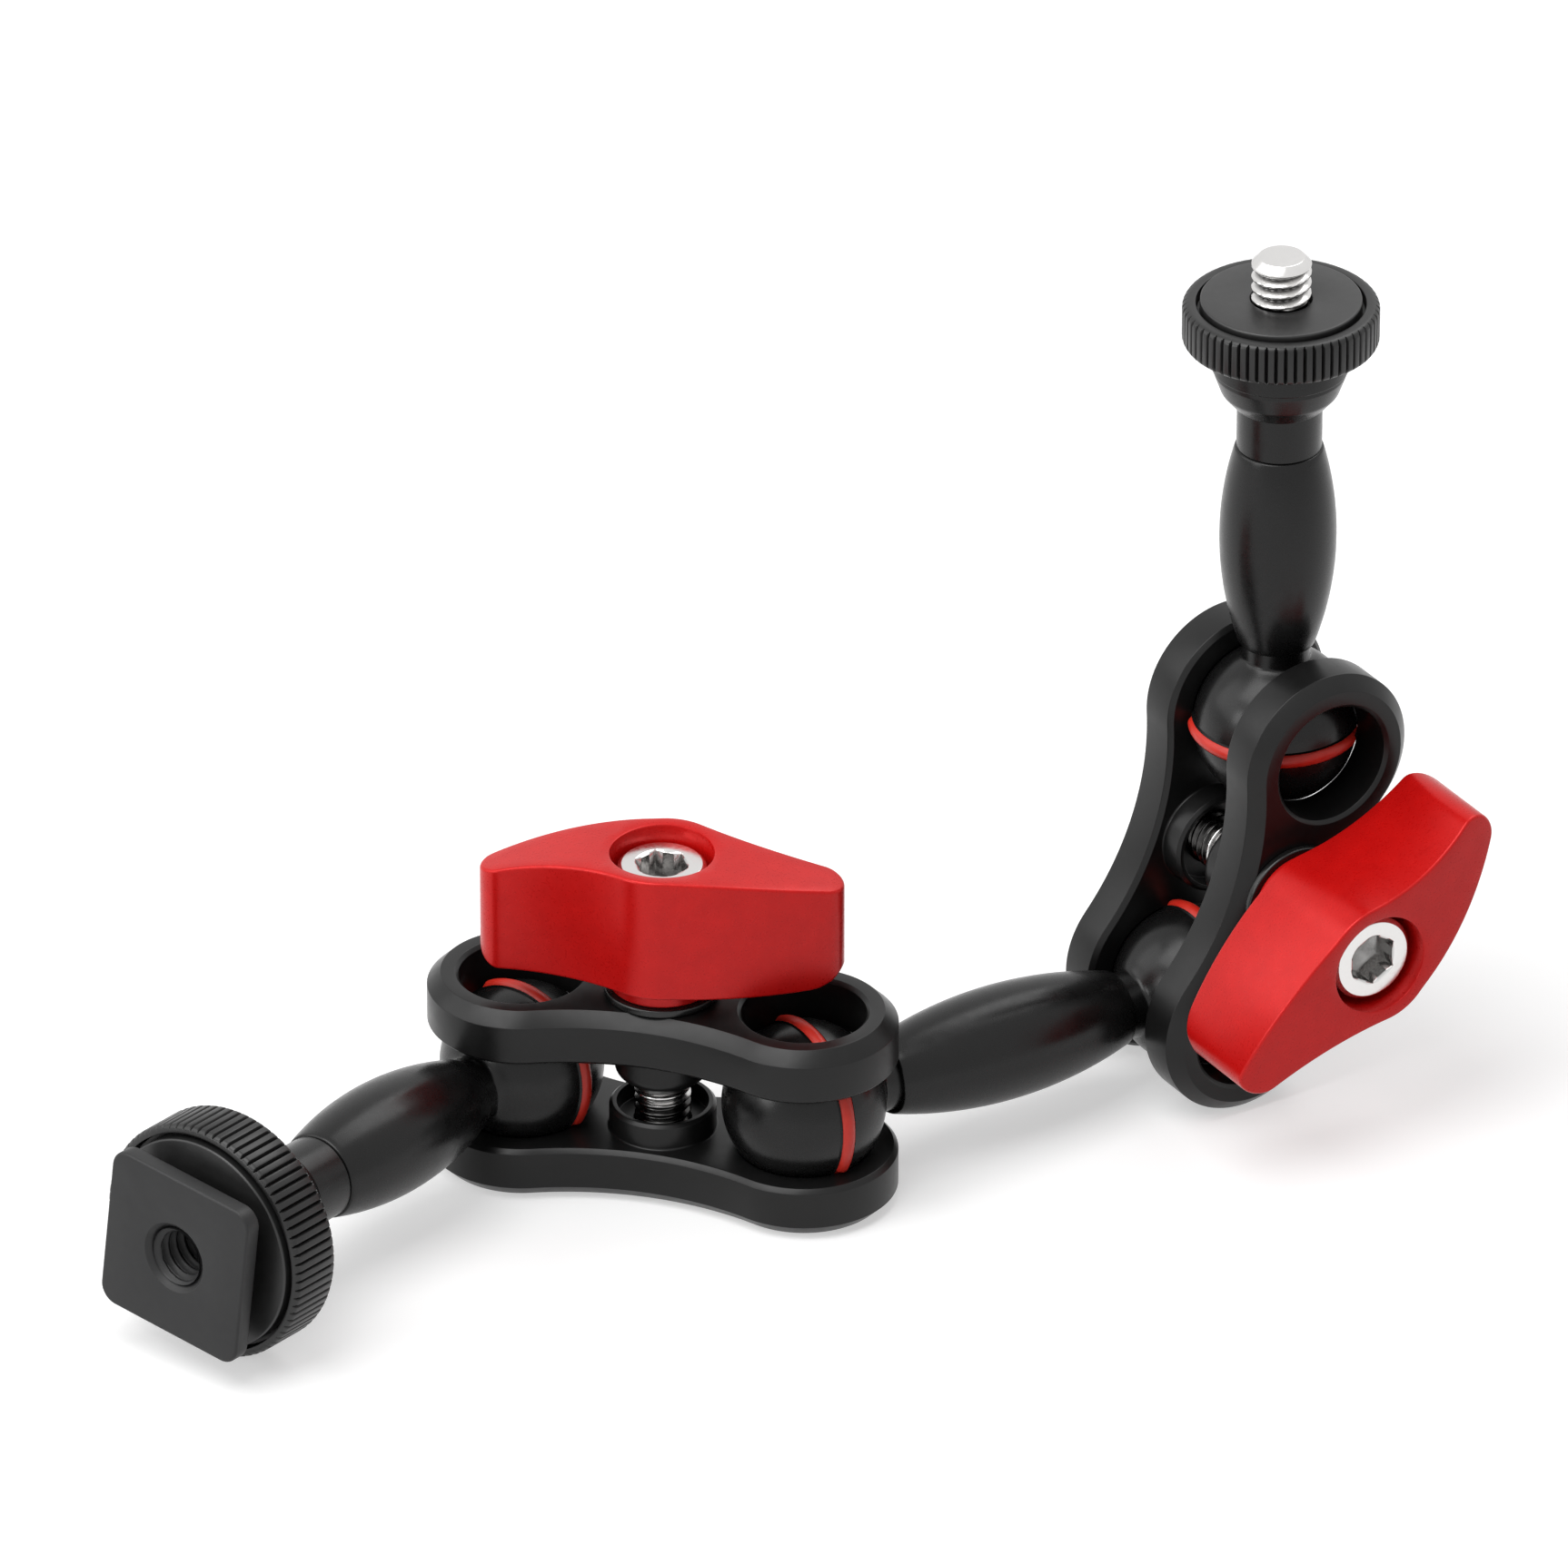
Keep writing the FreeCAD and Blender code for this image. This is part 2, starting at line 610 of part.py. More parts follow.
def shoe_plate(name):
    # Square plate with a hollow stem that the fitting holds
    body = new_body(name)
    half = size("shoe_side") / 2
    low = disc_face("shoe") + size("shoe_slot")
    high = low + size("shoe_thickness")
    square = new_sketch(body, "square", "XY_Plane")
    draw_loop(square, [(-half, -half), (half, -half), (half, half), (-half, half)])
    bind(square, "AttachmentOffset.Base.z", low)
    plate = pad(body, "plate", square, size("shoe_thickness"))
    doc.recompute()
    upright = ["Edge%d" % i for i, edge in enumerate(plate.Shape.Edges, start=1)
               if edge.BoundBox.ZLength > 1e-3]
    rounded = dress(body, "Fillet", "corners", plate, upright, size("shoe_corner_radius"))
    doc.recompute()
    rims = flat_edges(rounded.Shape, low) + flat_edges(rounded.Shape, high)
    dress(body, "Fillet", "edges", rounded, rims, size("shoe_edge_radius"))
    stem = new_sketch(body, "stem_section", "XZ_Plane")
    foot = flange_start + size("flange_length") - size("stem_hold")
    draw_loop(stem, [(0, foot), (size("stem_radius"), foot), (size("stem_radius"), low + 1), (0, low + 1)])
    turn(body, "stem", stem)
    hole = new_sketch(body, "hole_section", "XZ_Plane")
    radius = size("shoe_hole_radius")
    mouth = size("countersink")
    draw_loop(hole, [
        (0, high - size("shoe_hole_depth")), (radius, high - size("shoe_hole_depth")),
        (radius, high - mouth), (radius + mouth, high), (0, high)])
    turn(body, "hole", hole, "Groove")
    return body


def washer(name):
    inner = screw_bore
    outer = size("washer_radius")
    top = size("washer_thickness")
    return turned(name, [(inner, 0), (outer, 0), (outer, top), (inner, top)])


# Where the pieces stand: the directions of the arms and the frames of the two clamps
def across(direction):
    # Level direction at right angles to an arm
    side = V(0, 0, 1).cross(direction)
    if side.Length < 1e-6:
        side = V(0, 1, 0)
    return side.normalize()


def arm_frame(centre, direction, roll=0.0):
    side = across(direction)
    turn_up = FreeCAD.Rotation(side, direction.cross(side), direction, "ZXY")
    return FreeCAD.Placement(centre, turn_up * FreeCAD.Rotation(V(0, 0, 1), roll))


def heading(yaw, rise):
    # Direction with a yaw in degrees and a given rise for each unit of its length
    flat = math.sqrt(1 - rise * rise)
    angle = math.radians(yaw)
    return V(flat * math.cos(angle), flat * math.sin(angle), rise)


half_spacing = spacing.number / 2
ball_a = V(-half_spacing, 0, ball_height.number)
ball_b = V(half_spacing, 0, ball_height.number)
shoe_lift = (size("shoe_wheel_radius") - ball_height).number / wheel_start.number
shoe_direction = heading(size("shoe_arm_yaw").number, shoe_lift)
middle_fall = (ball_height - size("lobe_radius")).number / size("middle_length").number
middle_direction = heading(size("middle_arm_yaw").number, -middle_fall)
ball_c = ball_b + middle_direction * size("middle_length").number
# The upper clamp stands on edge, with its screw axis level and square to the middle arm
upper_axis = -across(middle_direction)
upper_swing = FreeCAD.Rotation(upper_axis, size("upper_clamp_swing").number)
upper_along = upper_swing.multVec(middle_direction)
ball_d = ball_c + upper_along * spacing.number
camera_direction = V(0, 0, 1) - upper_axis * upper_axis.z
camera_direction.normalize()

lower_clamp = FreeCAD.Placement()
upper_turn = FreeCAD.Rotation(upper_along, upper_axis.cross(upper_along), upper_axis, "ZXY")
upper_centre = (ball_c + ball_d) * 0.5 - upper_axis * ball_height.number
upper_clamp = FreeCAD.Placement(upper_centre, upper_turn)

shoe_frame = arm_frame(ball_a, shoe_direction, size("shoe_arm_roll").number)
middle_frame = arm_frame(ball_b, middle_direction)
far_frame = arm_frame(ball_c, -middle_direction)
camera_frame = arm_frame(ball_d, camera_direction)

placed = []


def place(item, frame):
    item.Placement = frame
    placed.append(item)


def lifted(frame, level, turn_angle=0.0):
    return frame * FreeCAD.Placement(V(0, 0, level.number), FreeCAD.Rotation(V(0, 0, 1), turn_angle))


upside_down = FreeCAD.Placement(V(0, 0, 0), FreeCAD.Rotation(V(1, 0, 0), 180))
thread_bore = size("clamp_screw_radius") + size("thread_clearance")
thread_end = thickness - size("thread_floor")
cup_top = -size("cup_height")
dish_floor = cup_top + size("dish_depth")
cup_bore = [(0, cup_top), (size("dish_radius"), cup_top), (size("dish_radius"), dish_floor),
            (thread_bore, dish_floor), (thread_bore, thread_end), (0, thread_end)]
nose_end = -size("nose_height")
nose_bore = [(0, nose_end), (screw_bore, nose_end), (screw_bore, thickness), (0, thickness)]
clamps = (("lower_clamp", lower_clamp, 0.0), ("upper_clamp", upper_clamp, size("upper_knob_turn").number))
for clamp_name, frame, knob_turn in clamps:
    base = clamp_plate(clamp_name + "_base_plate", size("cup_radius"), size("cup_height"),
                       size("cup_edge_radius"), cup_bore, windows=False)
    place(base, lifted(frame, thickness) * upside_down)
    top = clamp_plate(clamp_name + "_top_plate", size("nose_radius"), size("nose_height"),
                      size("nose_edge_radius"), nose_bore, windows=True)
    place(top, lifted(frame, thickness + gap))
    place(washer(clamp_name + "_washer"), lifted(frame, washer_level))
    place(wing_knob(clamp_name + "_wing_knob"), lifted(frame, knob_level, knob_turn))
    place(cap_screw(clamp_name + "_screw"), lifted(frame, knob_level + head_floor, knob_turn))

ball_frames = (("shoe_arm", shoe_frame), ("middle_arm_near", middle_frame),
               ("middle_arm_far", far_frame), ("camera_arm", camera_frame))
for arm_name, frame in ball_frames:
    place(ball_stud(arm_name + "_ball_stud"), frame)
    place(rubber_ring(arm_name + "_rubber_ring"), frame)

fitting_radius = size("barrel_fitting_radius")
place(barrel("shoe_arm_barrel", barrel_end, fitting_radius), shoe_frame)
place(barrel("camera_arm_barrel", barrel_end, fitting_radius), camera_frame)
middle_end = size("middle_length") - barrel_start
place(barrel("middle_arm_barrel", middle_end, size("barrel_ball_radius")), middle_frame)

thread = size("thread_clearance")
stem_bore = (size("stem_radius") + thread, size("stem_hold") + size("drill_clearance"))
screw_hold = (size("camera_screw_radius") + thread, size("camera_screw_hold") + size("drill_clearance"))
place(end_fitting("shoe_end_fitting", *stem_bore), shoe_frame)
place(end_fitting("camera_end_fitting", *screw_hold), camera_frame)
for end, frame in (("shoe", shoe_frame), ("camera", camera_frame)):
    place(lock_wheel(end + "_lock_wheel", end), frame)
    place(seat_disc(end + "_seat_disc", end), frame)
place(shoe_plate("shoe_plate"), shoe_frame)
place(camera_screw("camera_screw"), camera_frame)

doc.recompute()

for item in doc.Objects:
    if "Invalid" in item.State or "Error" in item.State:
        raise RuntimeError("failed: " + item.Name)
os.makedirs("parts", exist_ok=True)
for item in placed:
    shape = item.Shape
    if shape.isNull() or not shape.isValid() or len(shape.Solids) != 1:
        raise RuntimeError("bad shape: " + item.Label)
for item in placed:
    item.Shape.exportStep("parts/" + item.Label + ".step")
print("pieces written:", len(placed))
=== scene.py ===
import bpy
import bmesh
import json
import math
from mathutils import Matrix, Vector
from mathutils.geometry import delaunay_2d_cdt


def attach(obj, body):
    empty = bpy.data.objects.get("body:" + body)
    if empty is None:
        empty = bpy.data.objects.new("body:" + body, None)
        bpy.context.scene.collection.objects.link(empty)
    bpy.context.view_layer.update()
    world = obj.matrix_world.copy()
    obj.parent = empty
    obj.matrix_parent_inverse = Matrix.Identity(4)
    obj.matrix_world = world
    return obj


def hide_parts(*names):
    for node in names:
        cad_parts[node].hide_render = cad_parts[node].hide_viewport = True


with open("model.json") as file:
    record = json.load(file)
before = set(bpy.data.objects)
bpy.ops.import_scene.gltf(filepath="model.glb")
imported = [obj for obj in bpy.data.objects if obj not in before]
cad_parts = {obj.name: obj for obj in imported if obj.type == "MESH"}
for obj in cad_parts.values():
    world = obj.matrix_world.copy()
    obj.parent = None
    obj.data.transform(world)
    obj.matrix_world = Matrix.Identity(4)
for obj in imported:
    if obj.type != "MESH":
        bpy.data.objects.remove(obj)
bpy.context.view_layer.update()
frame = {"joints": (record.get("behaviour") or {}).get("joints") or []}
joints = {joint["name"]: joint for joint in frame["joints"]}
mm = 0.001  # pieces are drawn in millimetres and shrunk to metres at the end
print("frame loaded")


# Camera
viewpoint = {
    "azimuth": 15.325,      # degrees, round to the right of straight ahead
    "elevation": 29.809,    # degrees above the floor
    "distance": 2129.1,     # along the line of sight, from the origin
    "sideways": 12.83,
    "upwards": 41.232,
    "lens": 460.74,         # on a sensor 36 mm wide
}


def placeCamera(view):
    turn = math.radians(view["azimuth"])
    rise = math.radians(view["elevation"])
    back = Vector((math.sin(turn) * math.cos(rise), -math.cos(turn) * math.cos(rise), math.sin(rise)))
    right = Vector((math.cos(turn), math.sin(turn), 0))
    up = back.cross(right)
    spot = right * view["sideways"] + up * view["upwards"] + back * view["distance"]
    camera = bpy.data.cameras.new("camera")
    camera.lens = view["lens"]
    camera.sensor_width = 36
    camera.sensor_fit = "HORIZONTAL"
    camera.clip_start = 0.05
    camera.clip_end = 20
    holder = bpy.data.objects.new("camera", camera)
    holder.matrix_world = Matrix.Translation(spot * mm) @ Matrix((right, up, back)).transposed().to_4x4()
    bpy.context.scene.collection.objects.link(holder)
    bpy.context.scene.camera = holder


placeCamera(viewpoint)


# Where the pieces stand
def standing(origin, along, side, turn=0.0):
    # A frame with its Z along one direction and its X near another
    z = Vector(along).normalized()
    x = Vector(side)
    x = (x - z * x.dot(z)).normalized()
    axes = Matrix((x, z.cross(x), z)).transposed().to_4x4()
    return Matrix.Translation(Vector(origin)) @ axes @ Matrix.Rotation(math.radians(turn), 4, "Z")


shoeBall = Vector(joints["shoe_arm_swing"]["pos_m"])
nearBall = Vector(joints["middle_arm_swing"]["pos_m"])
farBall = Vector(joints["upper_clamp_swing"]["pos_m"])
cameraBall = Vector(joints["camera_arm_swing"]["pos_m"])
shoeLine = Vector(joints["shoe_arm_spin"]["axis"])
middleLine = Vector(joints["middle_arm_spin"]["axis"])
cameraLine = Vector(joints["camera_arm_spin"]["axis"])
upperAxis = Vector(joints["upper_clamp_swing"]["axis"])
ballHeight = 11.2

lowerClamp = Matrix.Identity(4)
upperFoot = (farBall + cameraBall) / 2 - upperAxis * ballHeight * mm
upperClamp = standing(upperFoot, upperAxis, cameraBall - farBall)
level = Vector((0, 0, 1))
shoeFrame = standing(shoeBall, shoeLine, level.cross(shoeLine), -5.2)
nearFrame = standing(nearBall, middleLine, level.cross(middleLine))
farFrame = standing(farBall, -middleLine, level.cross(middleLine))
cameraFrame = standing(cameraBall, cameraLine, (0, 1, 0))


def raised(place, height, turn=0.0, flip=False):
    over = Matrix.Rotation(math.pi, 4, "X") if flip else Matrix.Identity(4)
    lift = Matrix.Translation((0, 0, height * mm))
    return place @ lift @ Matrix.Rotation(math.radians(turn), 4, "Z") @ over


# Finishes
def shaderOf(material):
    return material.node_tree.nodes["Principled BSDF"]


def finish(name, colour, metallic, roughness, specular=0.5):
    material = bpy.data.materials.new(name)
    material.use_nodes = True
    shader = shaderOf(material)
    shader.inputs["Base Color"].default_value = (*colour, 1)
    shader.inputs["Metallic"].default_value = metallic
    shader.inputs["Roughness"].default_value = roughness
    shader.inputs["Specular IOR Level"].default_value = specular
    return material


# The owner of a node is a material or the world
def node(owner, kind, **sockets):
    made = owner.node_tree.nodes.new(kind)
    for socket, value in sockets.items():
        made.inputs[socket].default_value = value
    return made


def join(owner, source, target):
    owner.node_tree.links.new(source, target)


def calculate(owner, operation, *values):
    # One sum on numbers or on other nodes' results
    made = node(owner, "ShaderNodeMath")
    made.operation = operation
    for socket, value in zip(made.inputs, values):
        if isinstance(value, (int, float)):
            socket.default_value = value
        else:
            join(owner, value, socket)
    return made.outputs["Value"]


def fade(owner, value, start, stop, low=0.0, high=1.0):
    # Turns start to stop into low to high, and holds still past both ends
    made = node(owner, "ShaderNodeMapRange")
    for socket, number in (("From Min", start), ("From Max", stop), ("To Min", low), ("To Max", high)):
        made.inputs[socket].default_value = number
    join(owner, value, made.inputs["Value"])
    return made.outputs["Result"]


def pieceCoordinates(material, stretch=(1, 1, 1)):
    # The piece's own place in millimetres, so that the grain rides with it
    place = node(material, "ShaderNodeTexCoord")
    scale = node(material, "ShaderNodeMapping")
    scale.inputs["Scale"].default_value = [1000 * s for s in stretch]
    join(material, place.outputs["Object"], scale.inputs["Vector"])
    return scale.outputs["Vector"]


def noise(material, where, scale, detail=3.0, rough=0.5):
    made = node(material, "ShaderNodeTexNoise", Scale=scale, Detail=detail, Roughness=rough)
    join(material, where, made.inputs["Vector"])
    return made.outputs["Fac"]


def tint(material, value, dark, light):
    # Colour from dark at 0 to light at 1
    ramp = node(material, "ShaderNodeMix")
    ramp.data_type = "RGBA"
    for socket in ramp.inputs:
        if socket.type == "RGBA" and socket.name == "A":
            socket.default_value = (*dark, 1)
        if socket.type == "RGBA" and socket.name == "B":
            socket.default_value = (*light, 1)
    join(material, value, ramp.inputs["Factor"])
    colour = next(socket for socket in ramp.outputs if socket.type == "RGBA")
    join(material, colour, shaderOf(material).inputs["Base Color"])


def relief(material, value, height, under=None):
    # Bump of a height in millimetres
    bump = node(material, "ShaderNodeBump", Strength=1.0, Distance=height * mm)
    join(material, value, bump.inputs["Height"])
    if under:
        join(material, under.outputs["Normal"], bump.inputs["Normal"])
    join(material, bump.outputs["Normal"], shaderOf(material).inputs["Normal"])
    return bump


def roughen(material, value, low, high):
    # A noise keeps mostly between 0.3 and 0.7
    join(material, fade(material, value, 0.3, 0.7, low, high), shaderOf(material).inputs["Roughness"])


def grey(value, blue=0.0):
    return (value, value, value + blue)


def blackAnodised(name, dark, light, roughness, grain, depth, specular):
    # Dyed aluminium: near black, with a fine even grain and slightly uneven dye
    material = finish(name, light, 0.0, roughness, specular)
    where = pieceCoordinates(material)
    tint(material, noise(material, where, 0.35, 2.0), dark, light)
    roughen(material, noise(material, where, 0.9, 3.0), roughness - 0.03, roughness + 0.03)
    relief(material, noise(material, where, grain, 2.0, 0.6), depth)
    return material


def redAnodised():
    dye = {"dark": (0.48, 0.003, 0.003), "light": (0.60, 0.006, 0.005), "roughness": 0.29, "metal": 0.2,
           "specular": 0.28, "grain": 7.0, "depth": 0.0022}
    material = finish("redAnodised", dye["light"], dye["metal"], dye["roughness"], dye["specular"])
    where = pieceCoordinates(material)
    tint(material, noise(material, where, 0.5, 3.0), dye["dark"], dye["light"])
    roughen(material, noise(material, where, 3.0, 2.0), dye["roughness"] - 0.03, dye["roughness"] + 0.04)
    relief(material, noise(material, where, dye["grain"], 2.0, 0.6), dye["depth"])
    return material


def threadSteel(name, top, root, crest, oilAndShadeBelow, socket=None):
    # Stainless steel. Painted shade darkens the thread's roots, and below one height the whole thread is painted
    # dark: shade inside the cup, with oil.
    # A socket, given by its rim's height and its radius, gets painted shade inside.
    # dark is the colour of the painted shade (and the oil) laid on the steel
    steel = {"colour": (0.70, 0.69, 0.68), "dark": (0.035, 0.034, 0.033), "roughness": 0.2,
             "rootShade": 0.85, "oilAndShade": 0.95, "socketShade": 0.38}
    material = finish(name, steel["colour"], 1.0, steel["roughness"])
    where = pieceCoordinates(material)
    roughen(material, noise(material, where, 2.0, 3.0), steel["roughness"] - 0.04, steel["roughness"] + 0.06)
    split = node(material, "ShaderNodeSeparateXYZ")
    join(material, where, split.inputs["Vector"])
    x, y, z = (split.outputs[axis] for axis in "XYZ")

    def times(a, b):
        return calculate(material, "MULTIPLY", a, b)

    away = calculate(material, "SQRT", calculate(material, "ADD", times(x, x), times(y, y)))
    inThread = fade(material, z, top + 0.05, top - 0.05)
    deep = fade(material, away, crest - 0.25, root + 0.03)
    # Painted shade in the thread's roots, darker the deeper the groove
    rootShade = times(inThread, times(deep, steel["rootShade"]))
    # Below one height the whole thread is painted dark: painted shade inside the cup, with oil
    low = times(fade(material, z, oilAndShadeBelow + 0.25, oilAndShadeBelow - 0.25), steel["oilAndShade"])
    paintedShadeAndOil = calculate(material, "MAXIMUM", rootShade, low)
    if socket:
        rim, reach = socket
        # Painted shade inside the hex socket, below its rim and within its radius
        below = times(fade(material, z, rim + 0.02, rim - 0.1), steel["socketShade"])
        shadeInSocket = times(times(below, fade(material, z, 0.4, 0.6)), fade(material, away, reach + 0.1, reach))
        paintedShadeAndOil = calculate(material, "MAXIMUM", paintedShadeAndOil, shadeInSocket)
    tint(material, paintedShadeAndOil, steel["colour"], steel["dark"])
    return material


def redRubber():
    rubber = {"dark": (0.50, 0.012, 0.006), "light": (0.62, 0.030, 0.014), "roughness": 0.42, "specular": 0.45,
              "glowThrough": 0.06, "depth": 0.004}
    material = finish("redRubber", rubber["light"], 0.0, rubber["roughness"], rubber["specular"])
    shader = shaderOf(material)
    shader.inputs["Subsurface Weight"].default_value = rubber["glowThrough"]
    shader.inputs["Subsurface Radius"].default_value = (0.001, 0.0002, 0.0001)
    where = pieceCoordinates(material)
    tint(material, noise(material, where, 0.8, 2.0), rubber["dark"], rubber["light"])
    relief(material, noise(material, where, 4.0, 2.0), rubber["depth"])
    return material


def smoothBarrelBlack():
    # Finely turned and dyed: glossier than the plates, with hair-fine rings round the axis
    turned = {"dark": grey(0.003), "light": grey(0.006), "roughness": 0.27, "specular": 0.30,
              "rings": 0.0012, "grain": 0.0006}
    material = finish("smoothBlack", turned["light"], 0.0, turned["roughness"], turned["specular"])
    where = pieceCoordinates(material)
    tint(material, noise(material, where, 0.3, 2.0), turned["dark"], turned["light"])
    roughen(material, noise(material, where, 0.8, 3.0), turned["roughness"] - 0.03, turned["roughness"] + 0.04)
    stretched = pieceCoordinates(material, (0.04, 0.04, 6.0))
    rings = relief(material, noise(material, stretched, 1.0, 2.0), turned["rings"])
    relief(material, noise(material, where, 2.0, 2.0), turned["grain"], rings)
    return material


# The blacks give their dark and light colour, roughness, grain and its depth, and strength of reflection
finishes = {
    "plate": blackAnodised("satinBlack", grey(0.005), grey(0.008), 0.32, 6.0, 0.0022, 0.28),
    "arm": smoothBarrelBlack(),
    "wheel": blackAnodised("knurledBlack", grey(0.007), grey(0.012), 0.36, 5.0, 0.002, 0.42),
    "disc": blackAnodised("discBlack", grey(0.010), grey(0.015), 0.36, 6.0, 0.002, 0.52),
    "shoe": blackAnodised("shoeGrey", grey(0.013, 0.0005), grey(0.018, 0.0005), 0.46, 6.0, 0.003, 0.34),
    "washer": blackAnodised("washerBlack", grey(0.006), grey(0.010), 0.28, 4.0, 0.002, 0.45),
    "knob": redAnodised(),
    "rubber": redRubber(),
    # Both screw steels carry painted shade in the thread roots and low on the thread, and the clamp screw's socket
    # is painted darker inside
    "clampScrew": threadSteel("clampScrewSteel", -10.8, 2.5, 3.0, -22.0, (5.9, 2.95)),
    "cameraScrew": threadSteel("cameraScrewSteel", 55.3, 2.5, 3.175, 51.1),
}
print("finishes made")


# Mesh helpers
def pieceFrom(name, verts, faces, place, body, finishName, stands, sharpAngle=32, inward=False):
    mesh = bpy.data.meshes.new(name)
    mesh.from_pydata([(x * mm, y * mm, z * mm) for x, y, z in verts], [], faces)
    bm = bmesh.new()
    bm.from_mesh(mesh)
    bmesh.ops.recalc_face_normals(bm, faces=bm.faces)
    if inward:
        bmesh.ops.reverse_faces(bm, faces=bm.faces)
    bm.to_mesh(mesh)
    bm.free()
    mesh.polygons.foreach_set("use_smooth", [True] * len(mesh.polygons))
    mesh.set_sharp_from_angle(angle=math.radians(sharpAngle))
    mesh.materials.append(finishes[finishName])
    piece = bpy.data.objects.new(name, mesh)
    piece.matrix_world = place
    bpy.context.scene.collection.objects.link(piece)
    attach(piece, body)
    if stands:
        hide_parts(stands)
    return piece


def rounded(outline, steps=4):
    # Outline points are (radius, height) or (radius, height, corner radius). Corners become small arcs.
    points = []
    count = len(outline)
    for i, corner in enumerate(outline):
        here = Vector(corner[:2])
        size = corner[2] if len(corner) > 2 else 0
        if not size or i in (0, count - 1):
            points.append(tuple(here))
            continue
        before = Vector(outline[i - 1][:2])
        after = Vector(outline[i + 1][:2])
        a = (before - here).normalized()
        b = (after - here).normalized()
        half = math.acos(max(-1, min(1, a.dot(b)))) / 2
        reach = min(size / math.tan(half), (before - here).length * 0.49, (after - here).length * 0.49)
        radius = reach * math.tan(half)
        centre = here + (a + b).normalized() * (radius / math.sin(half))
        start = here + a * reach - centre
        swing = math.pi - 2 * half
        sign = 1 if a.x * b.y - a.y * b.x < 0 else -1
        for k in range(steps + 1):
            turn = sign * swing * k / steps
            c, s = math.cos(turn), math.sin(turn)
            points.append((centre.x + start.x * c - start.y * s, centre.y + start.x * s + start.y * c))
    return points


def turnedMesh(profile, around=96, closed=False):
    # Turns a profile round Z. A radius may be a function of the angle.
    verts = []
    faces = []
    rows = []
    for radius, height in profile:
        if not callable(radius) and abs(radius) < 1e-6:
            rows.append([len(verts)])
            verts.append((0, 0, height))
            continue
        row = []
        for k in range(around):
            angle = 2 * math.pi * k / around
            r = radius(angle) if callable(radius) else radius
            row.append(len(verts))
            verts.append((r * math.cos(angle), r * math.sin(angle), height))
        rows.append(row)
    pairs = list(zip(rows, rows[1:]))
    if closed:
        pairs.append((rows[-1], rows[0]))
    for low, high in pairs:
        for k in range(around):
            n = (k + 1) % around
            if len(low) == 1 and len(high) == 1:
                continue
            if len(low) == 1:
                faces.append((low[0], high[n], high[k]))
            elif len(high) == 1:
                faces.append((low[k], low[n], high[0]))
            else:
                faces.append((low[k], low[n], high[n], high[k]))
    return verts, faces


def addRing(verts, points, height):
    # Adds a closed ring of points and returns their numbers. The height may depend on x.
    first = len(verts)
    verts.extend((x, y, height(x) if callable(height) else height) for x, y in points)
    return list(range(first, len(verts)))


def addWall(faces, rings):
    for low, high in zip(rings, rings[1:]):
        count = len(low)
        for k in range(count):
            n = (k + 1) % count
            faces.append((low[k], low[n], high[n], high[k]))


def insideLoop(x, y, loop):
    inside = False
    for (ax, ay), (bx, by) in zip(loop, loop[1:] + loop[:1]):
        if (ay > y) != (by > y) and x < (bx - ax) * (y - ay) / (by - ay) + ax:
            inside = not inside
    return inside


def addCap(verts, faces, outside, holes, spacing=0, height=None):
    # Fills the face between an outline and its holes. Spacing adds inner points that follow an arched height.
    loops = [[verts[i][:2] for i in ring] for ring in [outside] + holes]
    numbers = [i for ring in [outside] + holes for i in ring]
    flat = [Vector(point) for loop in loops for point in loop]

    def isFilled(x, y):
        return insideLoop(x, y, loops[0]) and not any(insideLoop(x, y, hole) for hole in loops[1:])

    edges = []
    first = 0
    for loop in loops:
        count = len(loop)
        edges += [(first + k, first + (k + 1) % count) for k in range(count)]
        first += count
    if spacing:
        xs = [point[0] for point in loops[0]]
        ys = [point[1] for point in loops[0]]
        x = min(xs)
        while x < max(xs):
            y = min(ys)
            while y < max(ys):
                clear = all((point - Vector((x, y))).length > spacing * 0.6 for point in flat[:first])
                if clear and isFilled(x, y):
                    flat.append(Vector((x, y)))
                    numbers.append(len(verts))
                    verts.append((x, y, height(x)))
                y += spacing
            x += spacing
    points, _, triangles, sources, _, _ = delaunay_2d_cdt(flat, edges, [], 0, 1e-7)
    for triangle in triangles:
        middle = sum((points[i] for i in triangle), Vector((0, 0))) / 3
        if isFilled(middle.x, middle.y):
            faces.append(tuple(numbers[sources[i][0]] for i in triangle))


def arcPoints(centre, radius, start, stop, steps):
    turns = [math.radians(start + (stop - start) * k / steps) for k in range(steps + 1)]
    return [(centre[0] + radius * math.cos(t), centre[1] + radius * math.sin(t)) for t in turns]


def addCircle(verts, radius, height, centre=0.0, steps=72):
    circle = arcPoints((0, 0), radius, 0, 360, steps)[:-1]
    return addRing(verts, [(centre + x, y) for x, y in circle], height)


# Clamp plates
plateSizes = {
    "spacing": 31.0, "lobe": 10.0, "waist": 7.0, "thickness": 6.0, "gap": 10.4,
    "outerBevel": 1.45, "innerBevel": 0.5, "softEdge": 0.14,
    "window": 6.65, "windowRim": 0.4, "seat": 8.82, "seatLip": 0.12, "closedSeat": 87,  # the last in degrees
}


def dogBoneLoop(inset, perLobe=56, perSide=40):
    # Outline of a plate, moved inwards. The same count of points at every inset.
    half = plateSizes["spacing"] / 2
    lobe = plateSizes["lobe"]
    waist = plateSizes["waist"]
    hollow = (half ** 2 + waist ** 2 - lobe ** 2) / (2 * (lobe - waist))
    meet = math.degrees(math.atan2(waist + hollow, half))
    right = arcPoints((half, 0), lobe - inset, -(180 - meet), 180 - meet, perLobe)[:-1]
    top = arcPoints((0, waist + hollow), hollow + inset, -meet, meet - 180, perSide)[:-1]
    left = [(-x, -y) for x, y in right]
    bottom = [(-x, -y) for x, y in top]
    return right + top + left + bottom


